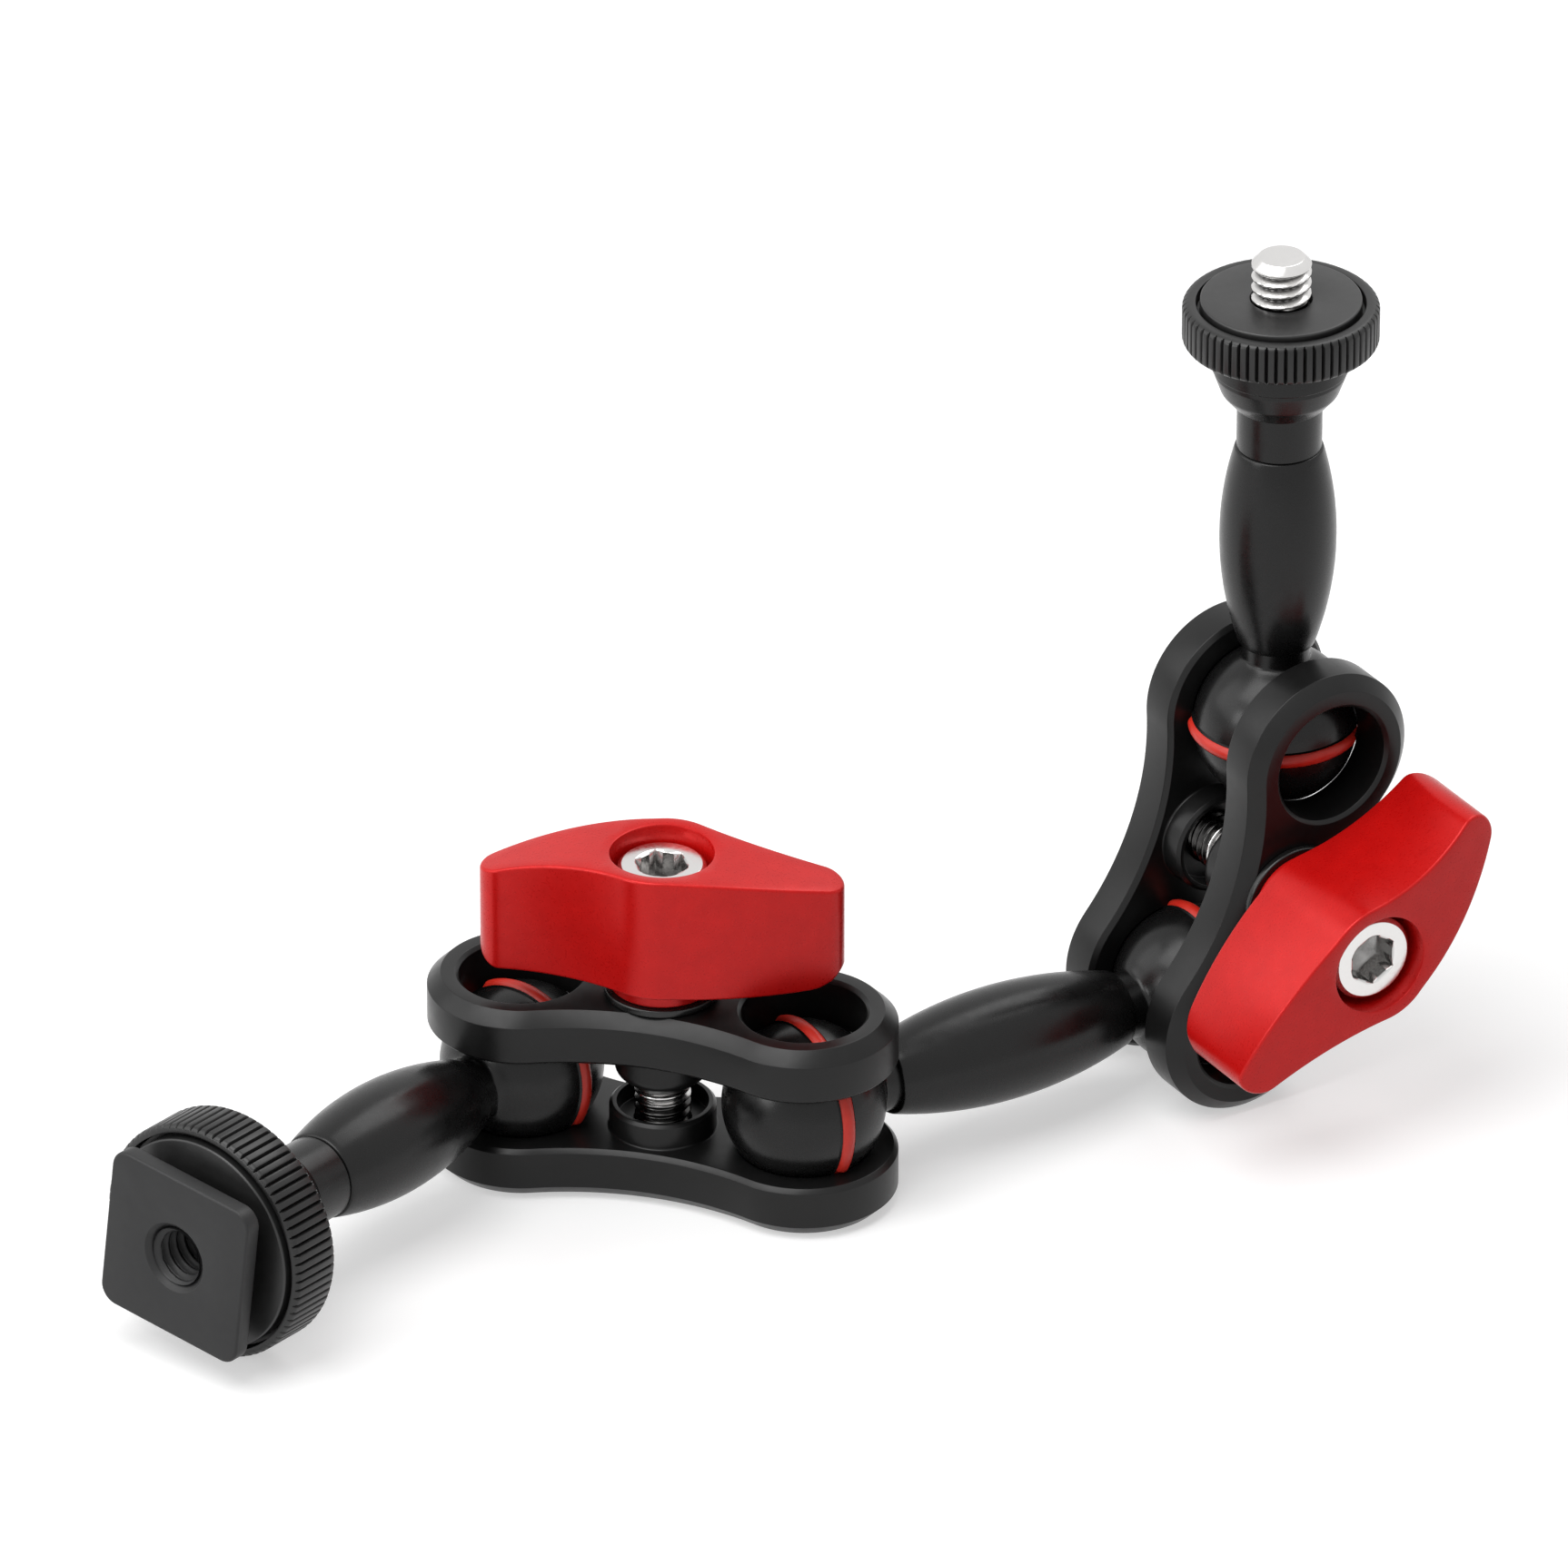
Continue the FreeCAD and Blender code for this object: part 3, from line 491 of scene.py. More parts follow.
def clampPlate(name, body, place, boss, windows):
    # The inside face lies at zero and the plate thickens upwards. Its boss hangs below.
    size = plateSizes
    thick = size["thickness"]
    soft = size["softEdge"]
    verts = []
    faces = []

    # Side, from the inside bevel up to the outside bevel, with softened edges
    inner = size["innerBevel"]
    outer = size["outerBevel"]
    section = rounded([(inner + 2, 0), (inner, 0, soft), (0, inner, soft), (0, thick - outer, soft),
                       (outer, thick, soft), (outer + 2, thick)], 3)[1:-1]
    side = [addRing(verts, dogBoneLoop(inset), height) for inset, height in section]
    addWall(faces, side)

    # The two ball seats: hollow bowls, open to the outside where the plate has windows
    seat = size["seat"]
    window = size["window"]
    rim = size["windowRim"]
    mouth = math.sqrt(seat ** 2 - (size["gap"] / 2) ** 2)
    low = math.degrees(math.atan2(size["gap"] / 2, mouth))
    high = math.degrees(math.acos(window / seat)) if windows else size["closedSeat"]
    bowl = arcPoints((0, -size["gap"] / 2), seat, low, high, 10 if windows else 24)
    holeSection = [(mouth + size["seatLip"], 0), (bowl[0][0], 0.08)] + bowl[1:]
    if windows:
        holeSection += rounded([bowl[-1], (window, thick - rim, 0.1), (window + rim, thick, 0.1),
                                (window + 2, thick)], 3)[1:-1]
    lowRings = []
    highRings = []
    for centre in (-size["spacing"] / 2, size["spacing"] / 2):
        rings = [addCircle(verts, radius, height, centre) for radius, height in holeSection]
        addWall(faces, rings)
        lowRings.append(rings[0])
        highRings.append(rings[-1])

    # Boss and bore
    rings = [addCircle(verts, radius, height) for radius, height in rounded(boss, 5)[1:-1]]
    addWall(faces, rings)
    addCap(verts, faces, side[0], [rings[0]] + lowRings)
    if windows:
        addCap(verts, faces, side[-1], [rings[-1]] + highRings)
    else:
        addCap(verts, faces, side[-1], [])
        for ring in highRings + [rings[-1]]:
            faces.append(tuple(ring))
    return pieceFrom(name, verts, faces, place, body, "plate", name, 28)


# Each boss runs from the plate's inside face round its end and into its bore, as radius, height and corner
plateThickness = plateSizes["thickness"]
topPlateLevel = plateThickness + plateSizes["gap"]
noseBoss = [(8, 0), (5.1, 0, 0.25), (5.1, -3.4, 1.5), (3.3, -5.0, 0.3), (3.1, -5.0),
            (3.1, plateThickness, 0.12), (6, plateThickness)]
cupBoss = [(8, 0), (5.7, 0, 0.25), (5.7, -2.55, 0.08), (5.35, -2.9, 0.08), (4.9, -2.9, 0.08), (4.9, -0.9, 0.1),
           (3.05, -0.9, 0.1), (3.05, 5.0), (0.5, 5.0), (0.2, 5.0)]
for clampName, place in (("lower_clamp", lowerClamp), ("upper_clamp", upperClamp)):
    clampPlate(clampName + "_base_plate", clampName, raised(place, plateThickness, 0, True), cupBoss, False)
    clampPlate(clampName + "_top_plate", clampName + "_top", raised(place, topPlateLevel), noseBoss, True)
print("clamp plates made")


# Wing knobs
knobSizes = {
    "hub": 7.1, "hubBackX": 2.2, "hubFrontX": 2.5, "tipBack": (16.9, 5.1), "tipFront": (18.7, 0.9),
    "hollow": 28.0, "round": 40.0, "tip": 2.7, "reach": 19.4, "crown": 65.0, "keel": 3.0,
    "foot": 1.85, "top": 16.05, "soft": 0.32, "footRadius": 5.6, "bore": 3.1, "counterbore": 5.5,
    "headFloor": 8.55, "rim": 0.25, "footEdge": 0.2, "floorEdge": 0.15, "pointSpacing": 1.1,
}


def arcBetween(a, b, radius, side, steps):
    # Points on the arc from a to b, without b. Side 1 bulges to the right of the way from a to b.
    ax, ay = a
    bx, by = b
    chord = math.hypot(bx - ax, by - ay)
    rise = radius - math.sqrt(radius ** 2 - chord ** 2 / 4)
    depth = radius - rise
    ux, uy = (by - ay) / chord * side, -(bx - ax) / chord * side
    cx, cy = (ax + bx) / 2 - ux * depth, (ay + by) / 2 - uy * depth
    start = math.atan2(ay - cy, ax - cx)
    swing = math.atan2(by - cy, bx - cx) - start
    swing = (swing + math.pi) % (2 * math.pi) - math.pi
    turns = [start + swing * k / steps for k in range(steps)]
    return [(cx + radius * math.cos(turn), cy + radius * math.sin(turn)) for turn in turns]


def knobOutline():
    size = knobSizes
    backY = math.sqrt(size["hub"] ** 2 - size["hubBackX"] ** 2)
    frontY = math.sqrt(size["hub"] ** 2 - size["hubFrontX"] ** 2)
    a = (size["hubBackX"], backY)
    b, c = size["tipBack"], size["tipFront"]
    d = (size["hubFrontX"], -frontY)
    e = (-a[0], -a[1])
    half = (arcBetween(a, b, size["hollow"], 1, 40) + arcBetween(b, c, size["tip"], -1, 14)
            + arcBetween(c, d, size["round"], -1, 40) + arcBetween(d, e, size["hub"], -1, 16))
    return half + [(-x, -y) for x, y in half]


def neighbours(points):
    # Each point of a closed loop, with the one before it and the one after it
    return zip(points[-1:] + points[:-1], points, points[1:] + points[:1])


def smoothLoop(points, times):
    for turn in range(times):
        points = [((before[0] + 2 * here[0] + after[0]) / 4, (before[1] + 2 * here[1] + after[1]) / 4)
                  for before, here, after in neighbours(points)]
    return points


def insetLoop(points, amount):
    # Moves a loop inwards, whichever way round it runs
    turns = sum(before[0] * here[1] - here[0] * before[1] for before, here, after in neighbours(points))
    inwards = amount if turns > 0 else -amount
    result = []
    for (ax, ay), (x, y), (bx, by) in neighbours(points):
        length = math.hypot(bx - ax, by - ay)
        result.append((x - (by - ay) / length * inwards, y + (bx - ax) / length * inwards))
    return result


knobPlan = smoothLoop(knobOutline(), 2)


def knobTop(x):
    return knobSizes["top"] - knobSizes["crown"] + math.sqrt(knobSizes["crown"] ** 2 - x * x)


def knobUnder(x):
    past = abs(x) - (knobSizes["reach"] - knobSizes["keel"])
    if past <= 0:
        return knobSizes["foot"]
    keel = knobSizes["keel"]
    return knobSizes["foot"] + keel - math.sqrt(max(0, keel ** 2 - min(past, keel) ** 2))


def wingKnob(name, body, place):
    size = knobSizes
    soft = size["soft"]
    verts = []
    faces = []
    steps = 5
    rings = []
    for k in range(steps + 1):  # lower rounded edge
        turn = math.pi / 2 * k / steps
        inset, lift = soft * (1 - math.sin(turn)), soft * (1 - math.cos(turn))
        rings.append(addRing(verts, insetLoop(knobPlan, inset), lambda x, lift=lift: knobUnder(x) + lift))
    for k in range(steps + 1):  # upper rounded edge
        turn = math.pi / 2 * (1 - k / steps)
        inset, lift = soft * (1 - math.sin(turn)), soft * (1 - math.cos(turn))
        rings.append(addRing(verts, insetLoop(knobPlan, inset), lambda x, lift=lift: knobTop(x) - lift))
    addWall(faces, rings)

    # Counterbore with a softened rim, bore, and the round foot under the hub
    rim, wide, bore = size["rim"], size["counterbore"], size["bore"]
    floor, floorEdge = size["headFloor"], size["floorEdge"]
    around, foot, footEdge = size["footRadius"], size["foot"], size["footEdge"]
    section = [(wide + rim, knobTop), (wide + rim * 0.3, lambda x: knobTop(x) - rim * 0.3),
               (wide, lambda x: knobTop(x) - rim), (wide, floor + floorEdge), (wide - floorEdge, floor),
               (bore, floor), (bore, 0), (around - footEdge, 0), (around, footEdge), (around, foot - footEdge),
               (around + footEdge, foot)]
    well = [addCircle(verts, radius, height) for radius, height in section]
    addWall(faces, well)
    addCap(verts, faces, rings[-1], [well[0]], size["pointSpacing"], knobTop)
    addCap(verts, faces, rings[0], [well[-1]], size["pointSpacing"], knobUnder)
    return pieceFrom(name, verts, faces, place, body, "knob", name, 40)


knobLevel = 23.3
upperKnobTurn = -42.0
wingKnob("lower_clamp_wing_knob", "lower_knob", raised(lowerClamp, knobLevel))
wingKnob("upper_clamp_wing_knob", "upper_knob", raised(upperClamp, knobLevel, upperKnobTurn))
print("wing knobs made")


# Screws, washers
def threadRadius(crest, root, pitch, height, flat=0.14):
    # Radius of a right-handed vee thread at one height, by the angle. Crest and root are a little flat.
    def at(angle):
        phase = (height / pitch - angle / (2 * math.pi)) % 1.0
        away = abs(phase - 0.5) * 2  # 1 at the crest, 0 at the root
        shape = min(1.0, max(0.0, (away - flat) / (1 - 2 * flat)))
        return root + (crest - root) * shape
    return at


def threadRows(crest, root, pitch, low, high, perTurn=14, fadeLow=0.0, plainHigh=0.0):
    # The lower end may taper, and at the upper end the roots may rise until the thread runs out
    rows = []
    count = int((high - low) / pitch * perTurn)
    for k in range(count + 1):
        height = low + (high - low) * k / count
        limit = crest
        if fadeLow and height - low < fadeLow:
            limit = crest - (fadeLow - (height - low))
        near = max(0.0, 1 - (high - height) / plainHigh) if plainHigh else 0.0
        shape = threadRadius(crest, root + (crest - root) * near, pitch, height)
        rows.append((lambda angle, s=shape, top=limit: min(s(angle), top), height))
    return rows


def hexagon(flat):
    def at(angle):
        return flat / math.cos((angle % (math.pi / 3)) - math.pi / 6)
    return at


screwSizes = {"radius": 3.0, "root": 2.5, "pitch": 1.0, "length": 30.0, "threadTop": -11.0, "shankFrom": -10.6,
              "head": 4.75, "headHeight": 6.0, "edge": 0.45, "socket": 2.5, "socketDepth": 3.2,
              "socketEdge": 0.22, "drillPoint": 1.1}
washerSizes = {"bore": 3.1, "radius": 6.2, "thickness": 0.9, "edge": 0.25, "level": 22.4}


def capScrew(name, body, place):
    # The underside of the head lies at zero, and the thread points down
    size = screwSizes
    radius, root, length = size["radius"], size["root"], size["length"]
    rows = [(0, -length), (root - 0.3, -length)]
    rows += threadRows(radius, root, size["pitch"], -length, size["threadTop"], fadeLow=0.5)
    rows += [(radius, size["shankFrom"]), (radius, 0)]
    head, edge, top = size["head"], size["edge"], size["headHeight"]
    flat = size["socket"]
    rows += rounded([(radius, 0), (head, 0, 0.2), (head, top - edge, 0.15), (head - edge, top, 0.2),
                     (flat * 1.2, top)])[1:]
    wide = hexagon(flat)
    mouth = size["socketEdge"]
    deep = top - size["socketDepth"]
    rows += [(lambda a: max(wide(a), flat * 1.15) + mouth * 0.2, top), (wide, top - mouth), (wide, deep),
             (flat * 0.9, deep - 0.05), (0, deep - size["drillPoint"])]
    verts, faces = turnedMesh(rows, 96)
    return pieceFrom(name, verts, faces, place, body, "clampScrew", name, 57)


def washer(name, body, place):
    bore, radius = washerSizes["bore"], washerSizes["radius"]
    thickness, edge = washerSizes["thickness"], washerSizes["edge"]
    profile = rounded([(bore, 0.4), (bore, 0, 0.05), (radius, 0, edge), (radius, thickness, edge),
                       (bore, thickness, 0.05), (bore, 0.4)])
    verts, faces = turnedMesh(profile, 96)
    return pieceFrom(name, verts, faces, place, body, "washer", name)


headLevel = knobLevel + knobSizes["headFloor"]
for clampName, place, turn in (("lower_clamp", lowerClamp, 0), ("upper_clamp", upperClamp, upperKnobTurn)):
    knobBody = clampName.replace("clamp", "knob")
    capScrew(clampName + "_screw", knobBody, raised(place, headLevel, turn))
    washer(clampName + "_washer", knobBody, raised(place, washerSizes["level"]))
print("screws and washers made")


# Ball studs, rings, barrels
armSizes = {
    "ball": 8.75, "groove": 0.9, "neck": 3.55, "neckEnd": 10.0, "shank": 2.5, "shankEnd": 17.9,
    "ringCentre": 8.47, "ringThick": 0.88, "gripHeight": 5.9, "gripReach": 1.5, "gripFrom": 8.2, "gripLeaves": 0.48,
    "barrelEnd": 33.6, "ballEnd": 4.15, "belly": 6.2, "fittingEnd": 4.75,
}


def ballStud(name, body, place):
    # The ball's centre lies at zero, and a groove round it holds the ring
    size = armSizes
    ball, neck = size["ball"], size["neck"]
    neckEnd, shank, shankEnd = size["neckEnd"], size["shank"], size["shankEnd"]
    meet = math.degrees(math.acos(neck / ball))
    groove = math.degrees(math.asin(size["groove"] / ball))
    lower = arcPoints((0, 0), ball, -90, -groove, 22)
    upper = arcPoints((0, 0), ball, groove, meet - 4, 20)
    dip = arcPoints((size["ringCentre"], 0), size["ringThick"] + 0.05, -60, -300, 12)
    stem = rounded([upper[-1], (neck + 0.05, math.sqrt(ball ** 2 - neck ** 2) + 0.1, 0.6), (neck, neckEnd),
                    (shank, neckEnd), (shank, shankEnd), (0, shankEnd)])
    rows = [(0, -ball)] + lower[1:] + dip + upper + stem[1:]
    verts, faces = turnedMesh(rows, 96)
    return pieceFrom(name, verts, faces, place, body, "arm", name)


def rubberRing(name, body, place, clampAxis):
    # The plates grip the ring above and below and press it flush with the ball there
    size = armSizes
    start = size["gripFrom"]
    aside = place.inverted().to_3x3() @ clampAxis
    towards = math.atan2(aside.y, aside.x)

    def pressed(radius):
        def at(angle):
            away = abs(size["ball"] * math.cos(angle - towards))
            grip = min(1.0, max(0.0, (size["gripReach"] - abs(away - size["gripHeight"])) / 0.5))
            flush = start + (radius - start) * size["gripLeaves"] if radius > start else radius
            return radius + (flush - radius) * grip
        return at

    section = arcPoints((size["ringCentre"], 0), size["ringThick"], 0, 360, 20)[:-1]
    verts, faces = turnedMesh([(pressed(radius), height) for radius, height in section], 180, closed=True)
    return pieceFrom(name, verts, faces, place, body, "rubber", name, 60)


def barrel(name, body, place, end, endRadius):
    # Spindle-shaped sleeve: one long arc swells from end to end
    size = armSizes
    start = size["neckEnd"]
    edge = 0.25
    near, belly = size["ballEnd"], size["belly"]
    rise = belly - (near + endRadius) / 2
    half = (end - start) / 2 - edge
    bow = (half ** 2 + rise ** 2) / (2 * rise)
    middle = (start + end) / 2
    steps = 40
    swell = []
    for k in range(steps + 1):
        z = start + edge + 2 * half * k / steps
        lean = near + (endRadius - near) * k / steps - (near + endRadius) / 2
        swell.append((belly - bow + math.sqrt(bow ** 2 - (z - middle) ** 2) + lean, z))
    rows = [(size["shank"], start), (near - edge - 0.05, start), (near - edge * 0.35, start + edge * 0.3)] + swell
    rows += [(endRadius - edge * 0.35, end - edge * 0.3), (endRadius - edge - 0.05, end), (size["shank"], end)]
    verts, faces = turnedMesh(rows, 96)
    return pieceFrom(name, verts, faces, place, body, "arm", name, 50)


for armName, place, body in (("shoe_arm", shoeFrame, "shoe_arm"), ("middle_arm_near", nearFrame, "middle_arm"),
                             ("middle_arm_far", farFrame, "middle_arm"), ("camera_arm", cameraFrame, "camera_arm")):
    ballStud(armName + "_ball_stud", body, place)
for ringName, place, body, clampAxis in (("shoe_arm", shoeFrame, "shoe_ring", level),
                                         ("middle_arm_near", nearFrame, "middle_near_ring", level),
                                         ("middle_arm_far", farFrame, "middle_far_ring", upperAxis),
                                         ("camera_arm", cameraFrame, "camera_ring", upperAxis)):
    rubberRing(ringName + "_rubber_ring", body, place, clampAxis)
barrel("shoe_arm_barrel", "shoe_arm", shoeFrame, armSizes["barrelEnd"], armSizes["fittingEnd"])
barrel("camera_arm_barrel", "camera_arm", cameraFrame, armSizes["barrelEnd"], armSizes["fittingEnd"])
middleLength = (farBall - nearBall).length / mm
barrel("middle_arm_barrel", "middle_arm", nearFrame, middleLength - armSizes["neckEnd"], armSizes["ballEnd"])
print("studs, rings and barrels made")


# End fittings, wheels, discs
endSizes = {
    "collar": 4.53, "collarEnd": 38.5, "ridge": 0.4, "flareSwell": 1.75, "flareMiddle": 40.35, "flareEnd": 42.5,
    "lineDepth": 0.25, "lineEnd": 42.95, "flange": 7.3, "flangeStart": 43.1, "flangeFace": 45.9, "boreDepth": 3,
    "wheelStart": 46.1, "proud": 0.5, "knurlDepth": 0.45, "knurlShare": 0.42,
    "shoe": {"wheel": 13.1, "width": 6.26, "recess": 12.2, "disc": 11.7, "discThick": 2.0, "knurls": 80,
             "hole": 4.5, "bore": 4.45},
    "camera": {"wheel": 10.42, "width": 4.56, "recess": 8.95, "disc": 8.55, "discThick": 1.6, "knurls": 64,
               "hole": 3.275, "bore": 3.225},
}
# How a knurled edge draws in towards a face: inset, and distance from that face
wheelBevel = ((0.5, 0.03), (0.35, 0.1), (0.2, 0.22), (0.08, 0.4), (0.0, 0.62))


def endFitting(name, body, place, end):
    # A small ridge, a full-bellied flare, and a narrow turned line under the flange
    size = endSizes
    bore, inner, start = size[end]["bore"], armSizes["shank"], armSizes["barrelEnd"]
    collar, collarEnd = size["collar"], size["collarEnd"]
    flange, face = size["flange"], size["flangeFace"]
    line = flange - size["lineDepth"]
    rows = rounded([
        (inner, start), (collar, start, 0.12), (collar, collarEnd, 0.1),
        (collar + size["ridge"], collarEnd + 0.25, 0.15), (collar + size["flareSwell"], size["flareMiddle"], 1.6),
        (line, size["flareEnd"], 0.5), (line, size["lineEnd"], 0.1), (flange, size["flangeStart"], 0.12),
        (flange, face, 0.4), (bore, face, 0.1), (bore, face - size["boreDepth"])], 6)
    verts, faces = turnedMesh(rows, 96)
    return pieceFrom(name, verts, faces, place, body, "arm", name)


def lockWheel(name, body, place, end):
    size = endSizes[end]
    low = endSizes["wheelStart"]
    face = low + size["width"]
    outside, hole, recess, knurls = size["wheel"], size["hole"], size["recess"], size["knurls"]
    depth = endSizes["knurlDepth"]
    floor = face + endSizes["proud"] - size["discThick"] - 0.1

    def grooved(limit):
        # Rounded ridges with narrow grooves between them, cut no deeper than the bevel leaves
        def at(angle):
            phase = abs(((angle * knurls / (2 * math.pi)) % 1.0) - 0.5) * 2
            dip = max(0.0, 1 - (1 - phase) / endSizes["knurlShare"])
            return min(limit, outside - depth * dip)
        return at

    rows = rounded([(hole, low + 1), (hole, low, 0.1), (outside - 1.2, low)], 2) + [(outside - 0.75, low)]
    rows += [(grooved(outside - inset), low + lift) for inset, lift in wheelBevel]
    rows.append((grooved(outside), (low + face) / 2))
    rows += [(grooved(outside - inset), face - lift) for inset, lift in reversed(wheelBevel)]
    rows += [(outside - 0.75, face)]
    rows += rounded([(outside - 0.8, face), (recess, face, 0.12), (recess, floor, 0.1), (hole, floor, 0.1),
                     (hole, low + 1)], 3)[1:]
    verts, faces = turnedMesh(rows, knurls * 10)
    return pieceFrom(name, verts, faces, place, body, "wheel", name, 38)


def seatDisc(name, body, place, end):
    size = endSizes[end]
    hole, outside = size["hole"], size["disc"]
    top = endSizes["wheelStart"] + size["width"] + endSizes["proud"]
    low = top - size["discThick"]
    rows = rounded([(hole, low + 0.5), (hole, low, 0.05), (outside, low, 0.1), (outside, top, 0.22),
                    (hole, top, 0.15), (hole, low + 0.5)])
    verts, faces = turnedMesh(rows, 128)
    return pieceFrom(name, verts, faces, place, body, "disc", name)


for end, place in (("shoe", shoeFrame), ("camera", cameraFrame)):
    endFitting(end + "_end_fitting", end + "_arm", place, end)
    lockWheel(end + "_lock_wheel", end + "_wheel", place, end)
    seatDisc(end + "_seat_disc", end + "_disc", place, end)
print("fittings, wheels and discs made")


# Camera screw
cameraScrewSizes = {"crest": 3.175, "root": 2.5, "pitch": 1.27, "low": 36.4, "relief": 50.16, "face": 51.16,
                    "neck": 2.825, "high": 56.11, "chamfer": 0.75}


def cameraScrew(name, body, place):
    # A plain shank, a relief groove up to the disc's face, then the thread and its chamfered end
    size = cameraScrewSizes
    crest, neck, low, high = size["crest"], size["neck"], size["low"], size["high"]
    rows = [(0, low), (crest - 0.3, low), (crest, low + 0.3), (crest, size["relief"]), (neck, size["relief"]),
            (neck, size["face"] - 0.1)]
    shoulder = high - size["chamfer"]
    rows += threadRows(crest, size["root"], size["pitch"], size["face"], shoulder - 0.12, 20, plainHigh=0.5)
    rows += rounded([(crest, shoulder - 0.1), (crest, shoulder, 0.15), (crest - size["chamfer"], high, 0.1),
                     (0, high)], 3)
    verts, faces = turnedMesh(rows, 120)
    return pieceFrom(name, verts, faces, place, body, "cameraScrew", name, 36)


cameraScrew("camera_screw", "camera_arm", cameraFrame)


# Shoe plate
shoeSizes = {"half": 9.3, "corner": 2.0, "thick": 2.0, "low": 54.86, "stem": 4.4, "stemFoot": 41.3,
             "stemFillet": 0.2, "soft": 0.3, "hole": 3.175, "mouth": 0.8, "depth": 8.5, "root": 2.55, "pitch": 1.27,
             "threadInset": 0.35, "threadLength": 7.6, "threadFade": 0.6}


def squareLoop(inset):
    half = shoeSizes["half"] - inset
    corner = shoeSizes["corner"] - inset * 0.5
    quarter = arcPoints((half - corner, half - corner), corner, 0, 90, 10)
    points = []
    for k in range(4):
        c, s = math.cos(math.pi / 2 * k), math.sin(math.pi / 2 * k)
        points += [(x * c - y * s, x * s + y * c) for x, y in quarter]
    return points


def shoePlate(name, body, place):
    size = shoeSizes
    low, high = size["low"], size["low"] + size["thick"]
    verts = []
    faces = []
    soft = size["soft"]
    section = rounded([(1.2, low), (0, low, soft), (0, high, soft), (1.2, high)], 5)[1:-1]
    side = [addRing(verts, squareLoop(inset), height) for inset, height in section]
    addWall(faces, side)

    # The stem and the threaded hole, each closed by a small flat face
    stem, foot, fillet = size["stem"], size["stemFoot"], size["stemFillet"]
    stemSection = [(stem + fillet, low), (stem, low - fillet), (stem, foot), (0.3, foot)]
    hole, mouth, floor = size["hole"], size["mouth"], high - size["depth"]
    holeSection = rounded([(hole + 2, high), (hole + mouth, high, 0.12), (hole, high - mouth, 0.1), (hole, floor),
                           (0.4, floor - 0.3)], 3)[1:]
    for middle, edge in ((stemSection, side[0]), (holeSection, side[-1])):
        rings = [addCircle(verts, radius, height) for radius, height in middle]
        addWall(faces, rings)
        faces.append(tuple(rings[-1]))
        addCap(verts, faces, edge, [rings[0]])
    return pieceFrom(name, verts, faces, place, body, "shoe", name, 30)


def shoeThread(name, body, place):
    # Vee thread that lines the hole and runs out towards its mouth
    size = shoeSizes
    hole, root, runOut = size["hole"], size["root"], size["threadFade"]
    high = size["low"] + size["thick"] - size["threadInset"]
    low = high - size["threadLength"]
    rows = []
    steps = 84
    for k in range(steps + 1):
        height = low + (high - low) * k / steps
        near = max(0.0, (height - (high - runOut)) / runOut)
        rows.append((threadRadius(hole + 0.02, root + (hole - root) * near, size["pitch"], height), height))
    verts, faces = turnedMesh(rows, 96)
    return pieceFrom(name, verts, faces, place, body, "shoe", None, 50, True)


shoePlate("shoe_plate", "shoe_arm", shoeFrame)
shoeThread("shoe_plate_thread", "shoe_arm", shoeFrame)
print("camera screw and shoe plate made")


# Floor, light
studio = {
    "floorSize": 6.0, "floorLevel": -0.00005, "floorColour": 0.62, "floorRoughness": 0.9, "floorGlow": 0.49,
    "worldLight": 0.27, "shownWhite": 1.0, "aim": (0.02, 0.0, 0.03),
    "top": {"watts": 11.0, "size": 0.9, "place": (-0.28, -0.42, 1.15)},
    "left": {"watts": 4.0, "size": 0.9, "place": (-1.15, -0.25, 0.75)},
    "front": {"watts": 5.0, "size": 0.5, "place": (-1.0, -1.1, 0.6)},
    "back": {"watts": 4.0, "size": 0.7, "place": (0.3, 0.6, 1.0)},
}


def lightPath(owner):
    return node(owner, "ShaderNodeLightPath").outputs


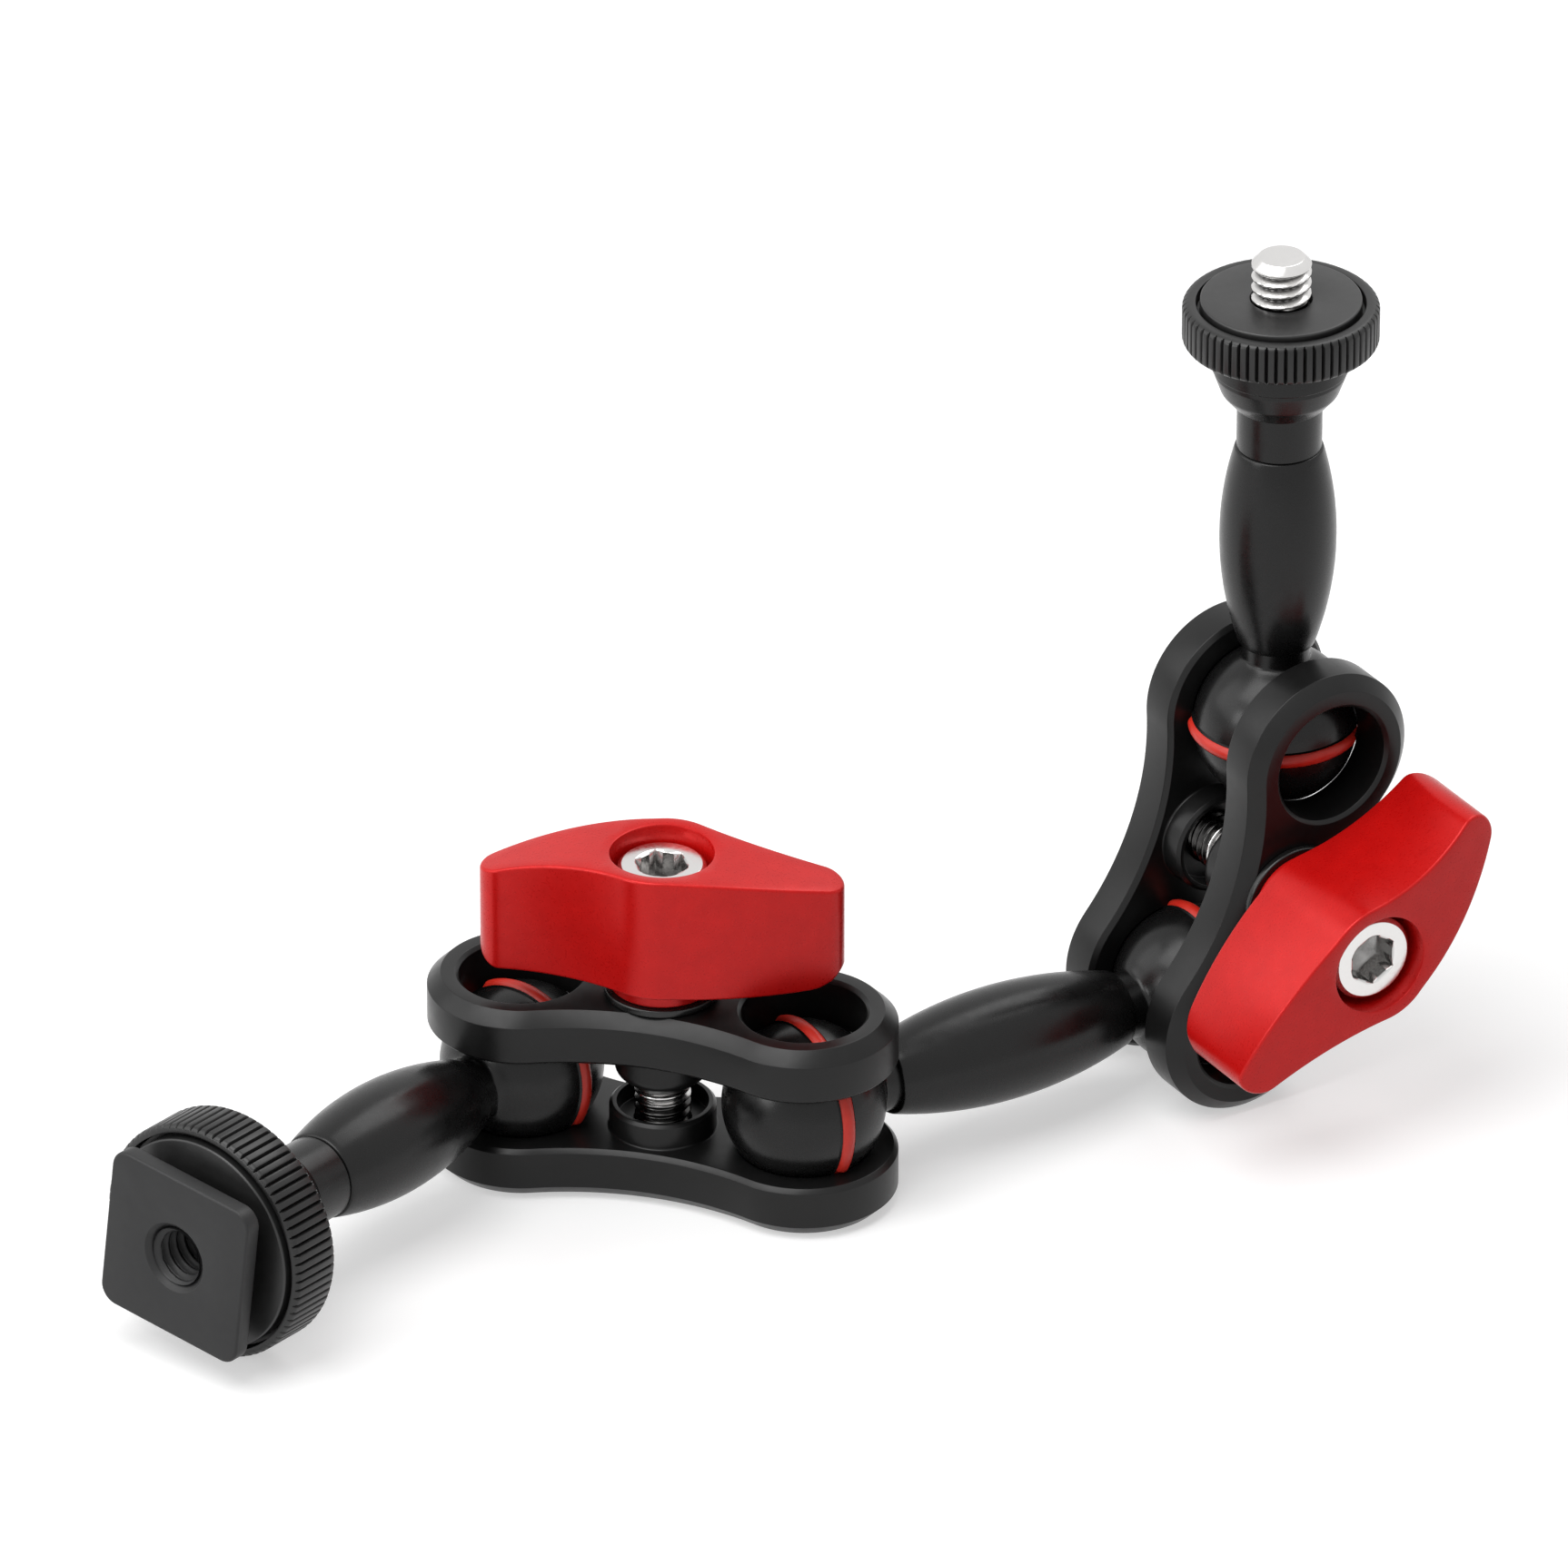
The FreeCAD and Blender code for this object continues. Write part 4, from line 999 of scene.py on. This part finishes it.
def seenRays(owner):
    # 1 for what the camera sees, directly or in a reflection
    path = lightPath(owner)
    return calculate(owner, "MAXIMUM", path["Is Camera Ray"], path["Is Glossy Ray"])


def layFloor():
    # Glows a little where it is seen, so that it reads as white
    half = studio["floorSize"] / 2
    mesh = bpy.data.meshes.new("floor")
    mesh.from_pydata([(-half, -half, 0), (half, -half, 0), (half, half, 0), (-half, half, 0)], [], [(0, 1, 2, 3)])
    floor = bpy.data.objects.new("floor", mesh)
    floor.location.z = studio["floorLevel"]
    bpy.context.scene.collection.objects.link(floor)
    material = finish("paleFloor", grey(studio["floorColour"]), 0.0, studio["floorRoughness"], 0.0)
    strength = calculate(material, "MULTIPLY", seenRays(material), studio["floorGlow"])
    glow = node(material, "ShaderNodeEmission")
    both = node(material, "ShaderNodeAddShader")
    join(material, strength, glow.inputs["Strength"])
    join(material, shaderOf(material).outputs[0], both.inputs[0])
    join(material, glow.outputs[0], both.inputs[1])
    join(material, both.outputs[0], material.node_tree.nodes["Material Output"].inputs["Surface"])
    mesh.materials.append(material)


def lightWorld():
    # White where it is seen, and dimmer as a light
    world = bpy.data.worlds.new("studio")
    world.use_nodes = True
    bpy.context.scene.world = world
    through = calculate(world, "MAXIMUM", seenRays(world), lightPath(world)["Is Transmission Ray"])
    background = world.node_tree.nodes["Background"].inputs
    join(world, fade(world, through, 0, 1, studio["worldLight"], studio["shownWhite"]), background["Strength"])
    background["Color"].default_value = (1, 1, 1, 1)


def softbox(name, settings):
    lamp = bpy.data.lights.new(name, "AREA")
    lamp.energy = settings["watts"]
    lamp.size = settings["size"]
    holder = bpy.data.objects.new(name, lamp)
    holder.location = settings["place"]
    aim = Vector(studio["aim"]) - Vector(settings["place"])
    holder.rotation_euler = aim.to_track_quat("-Z", "Y").to_euler()
    bpy.context.scene.collection.objects.link(holder)


layFloor()
lightWorld()
for name in ("top", "left", "front", "back"):
    softbox(name + "Softbox", studio[name])
bpy.context.scene.view_settings.view_transform = "Standard"
print("floor and light made")
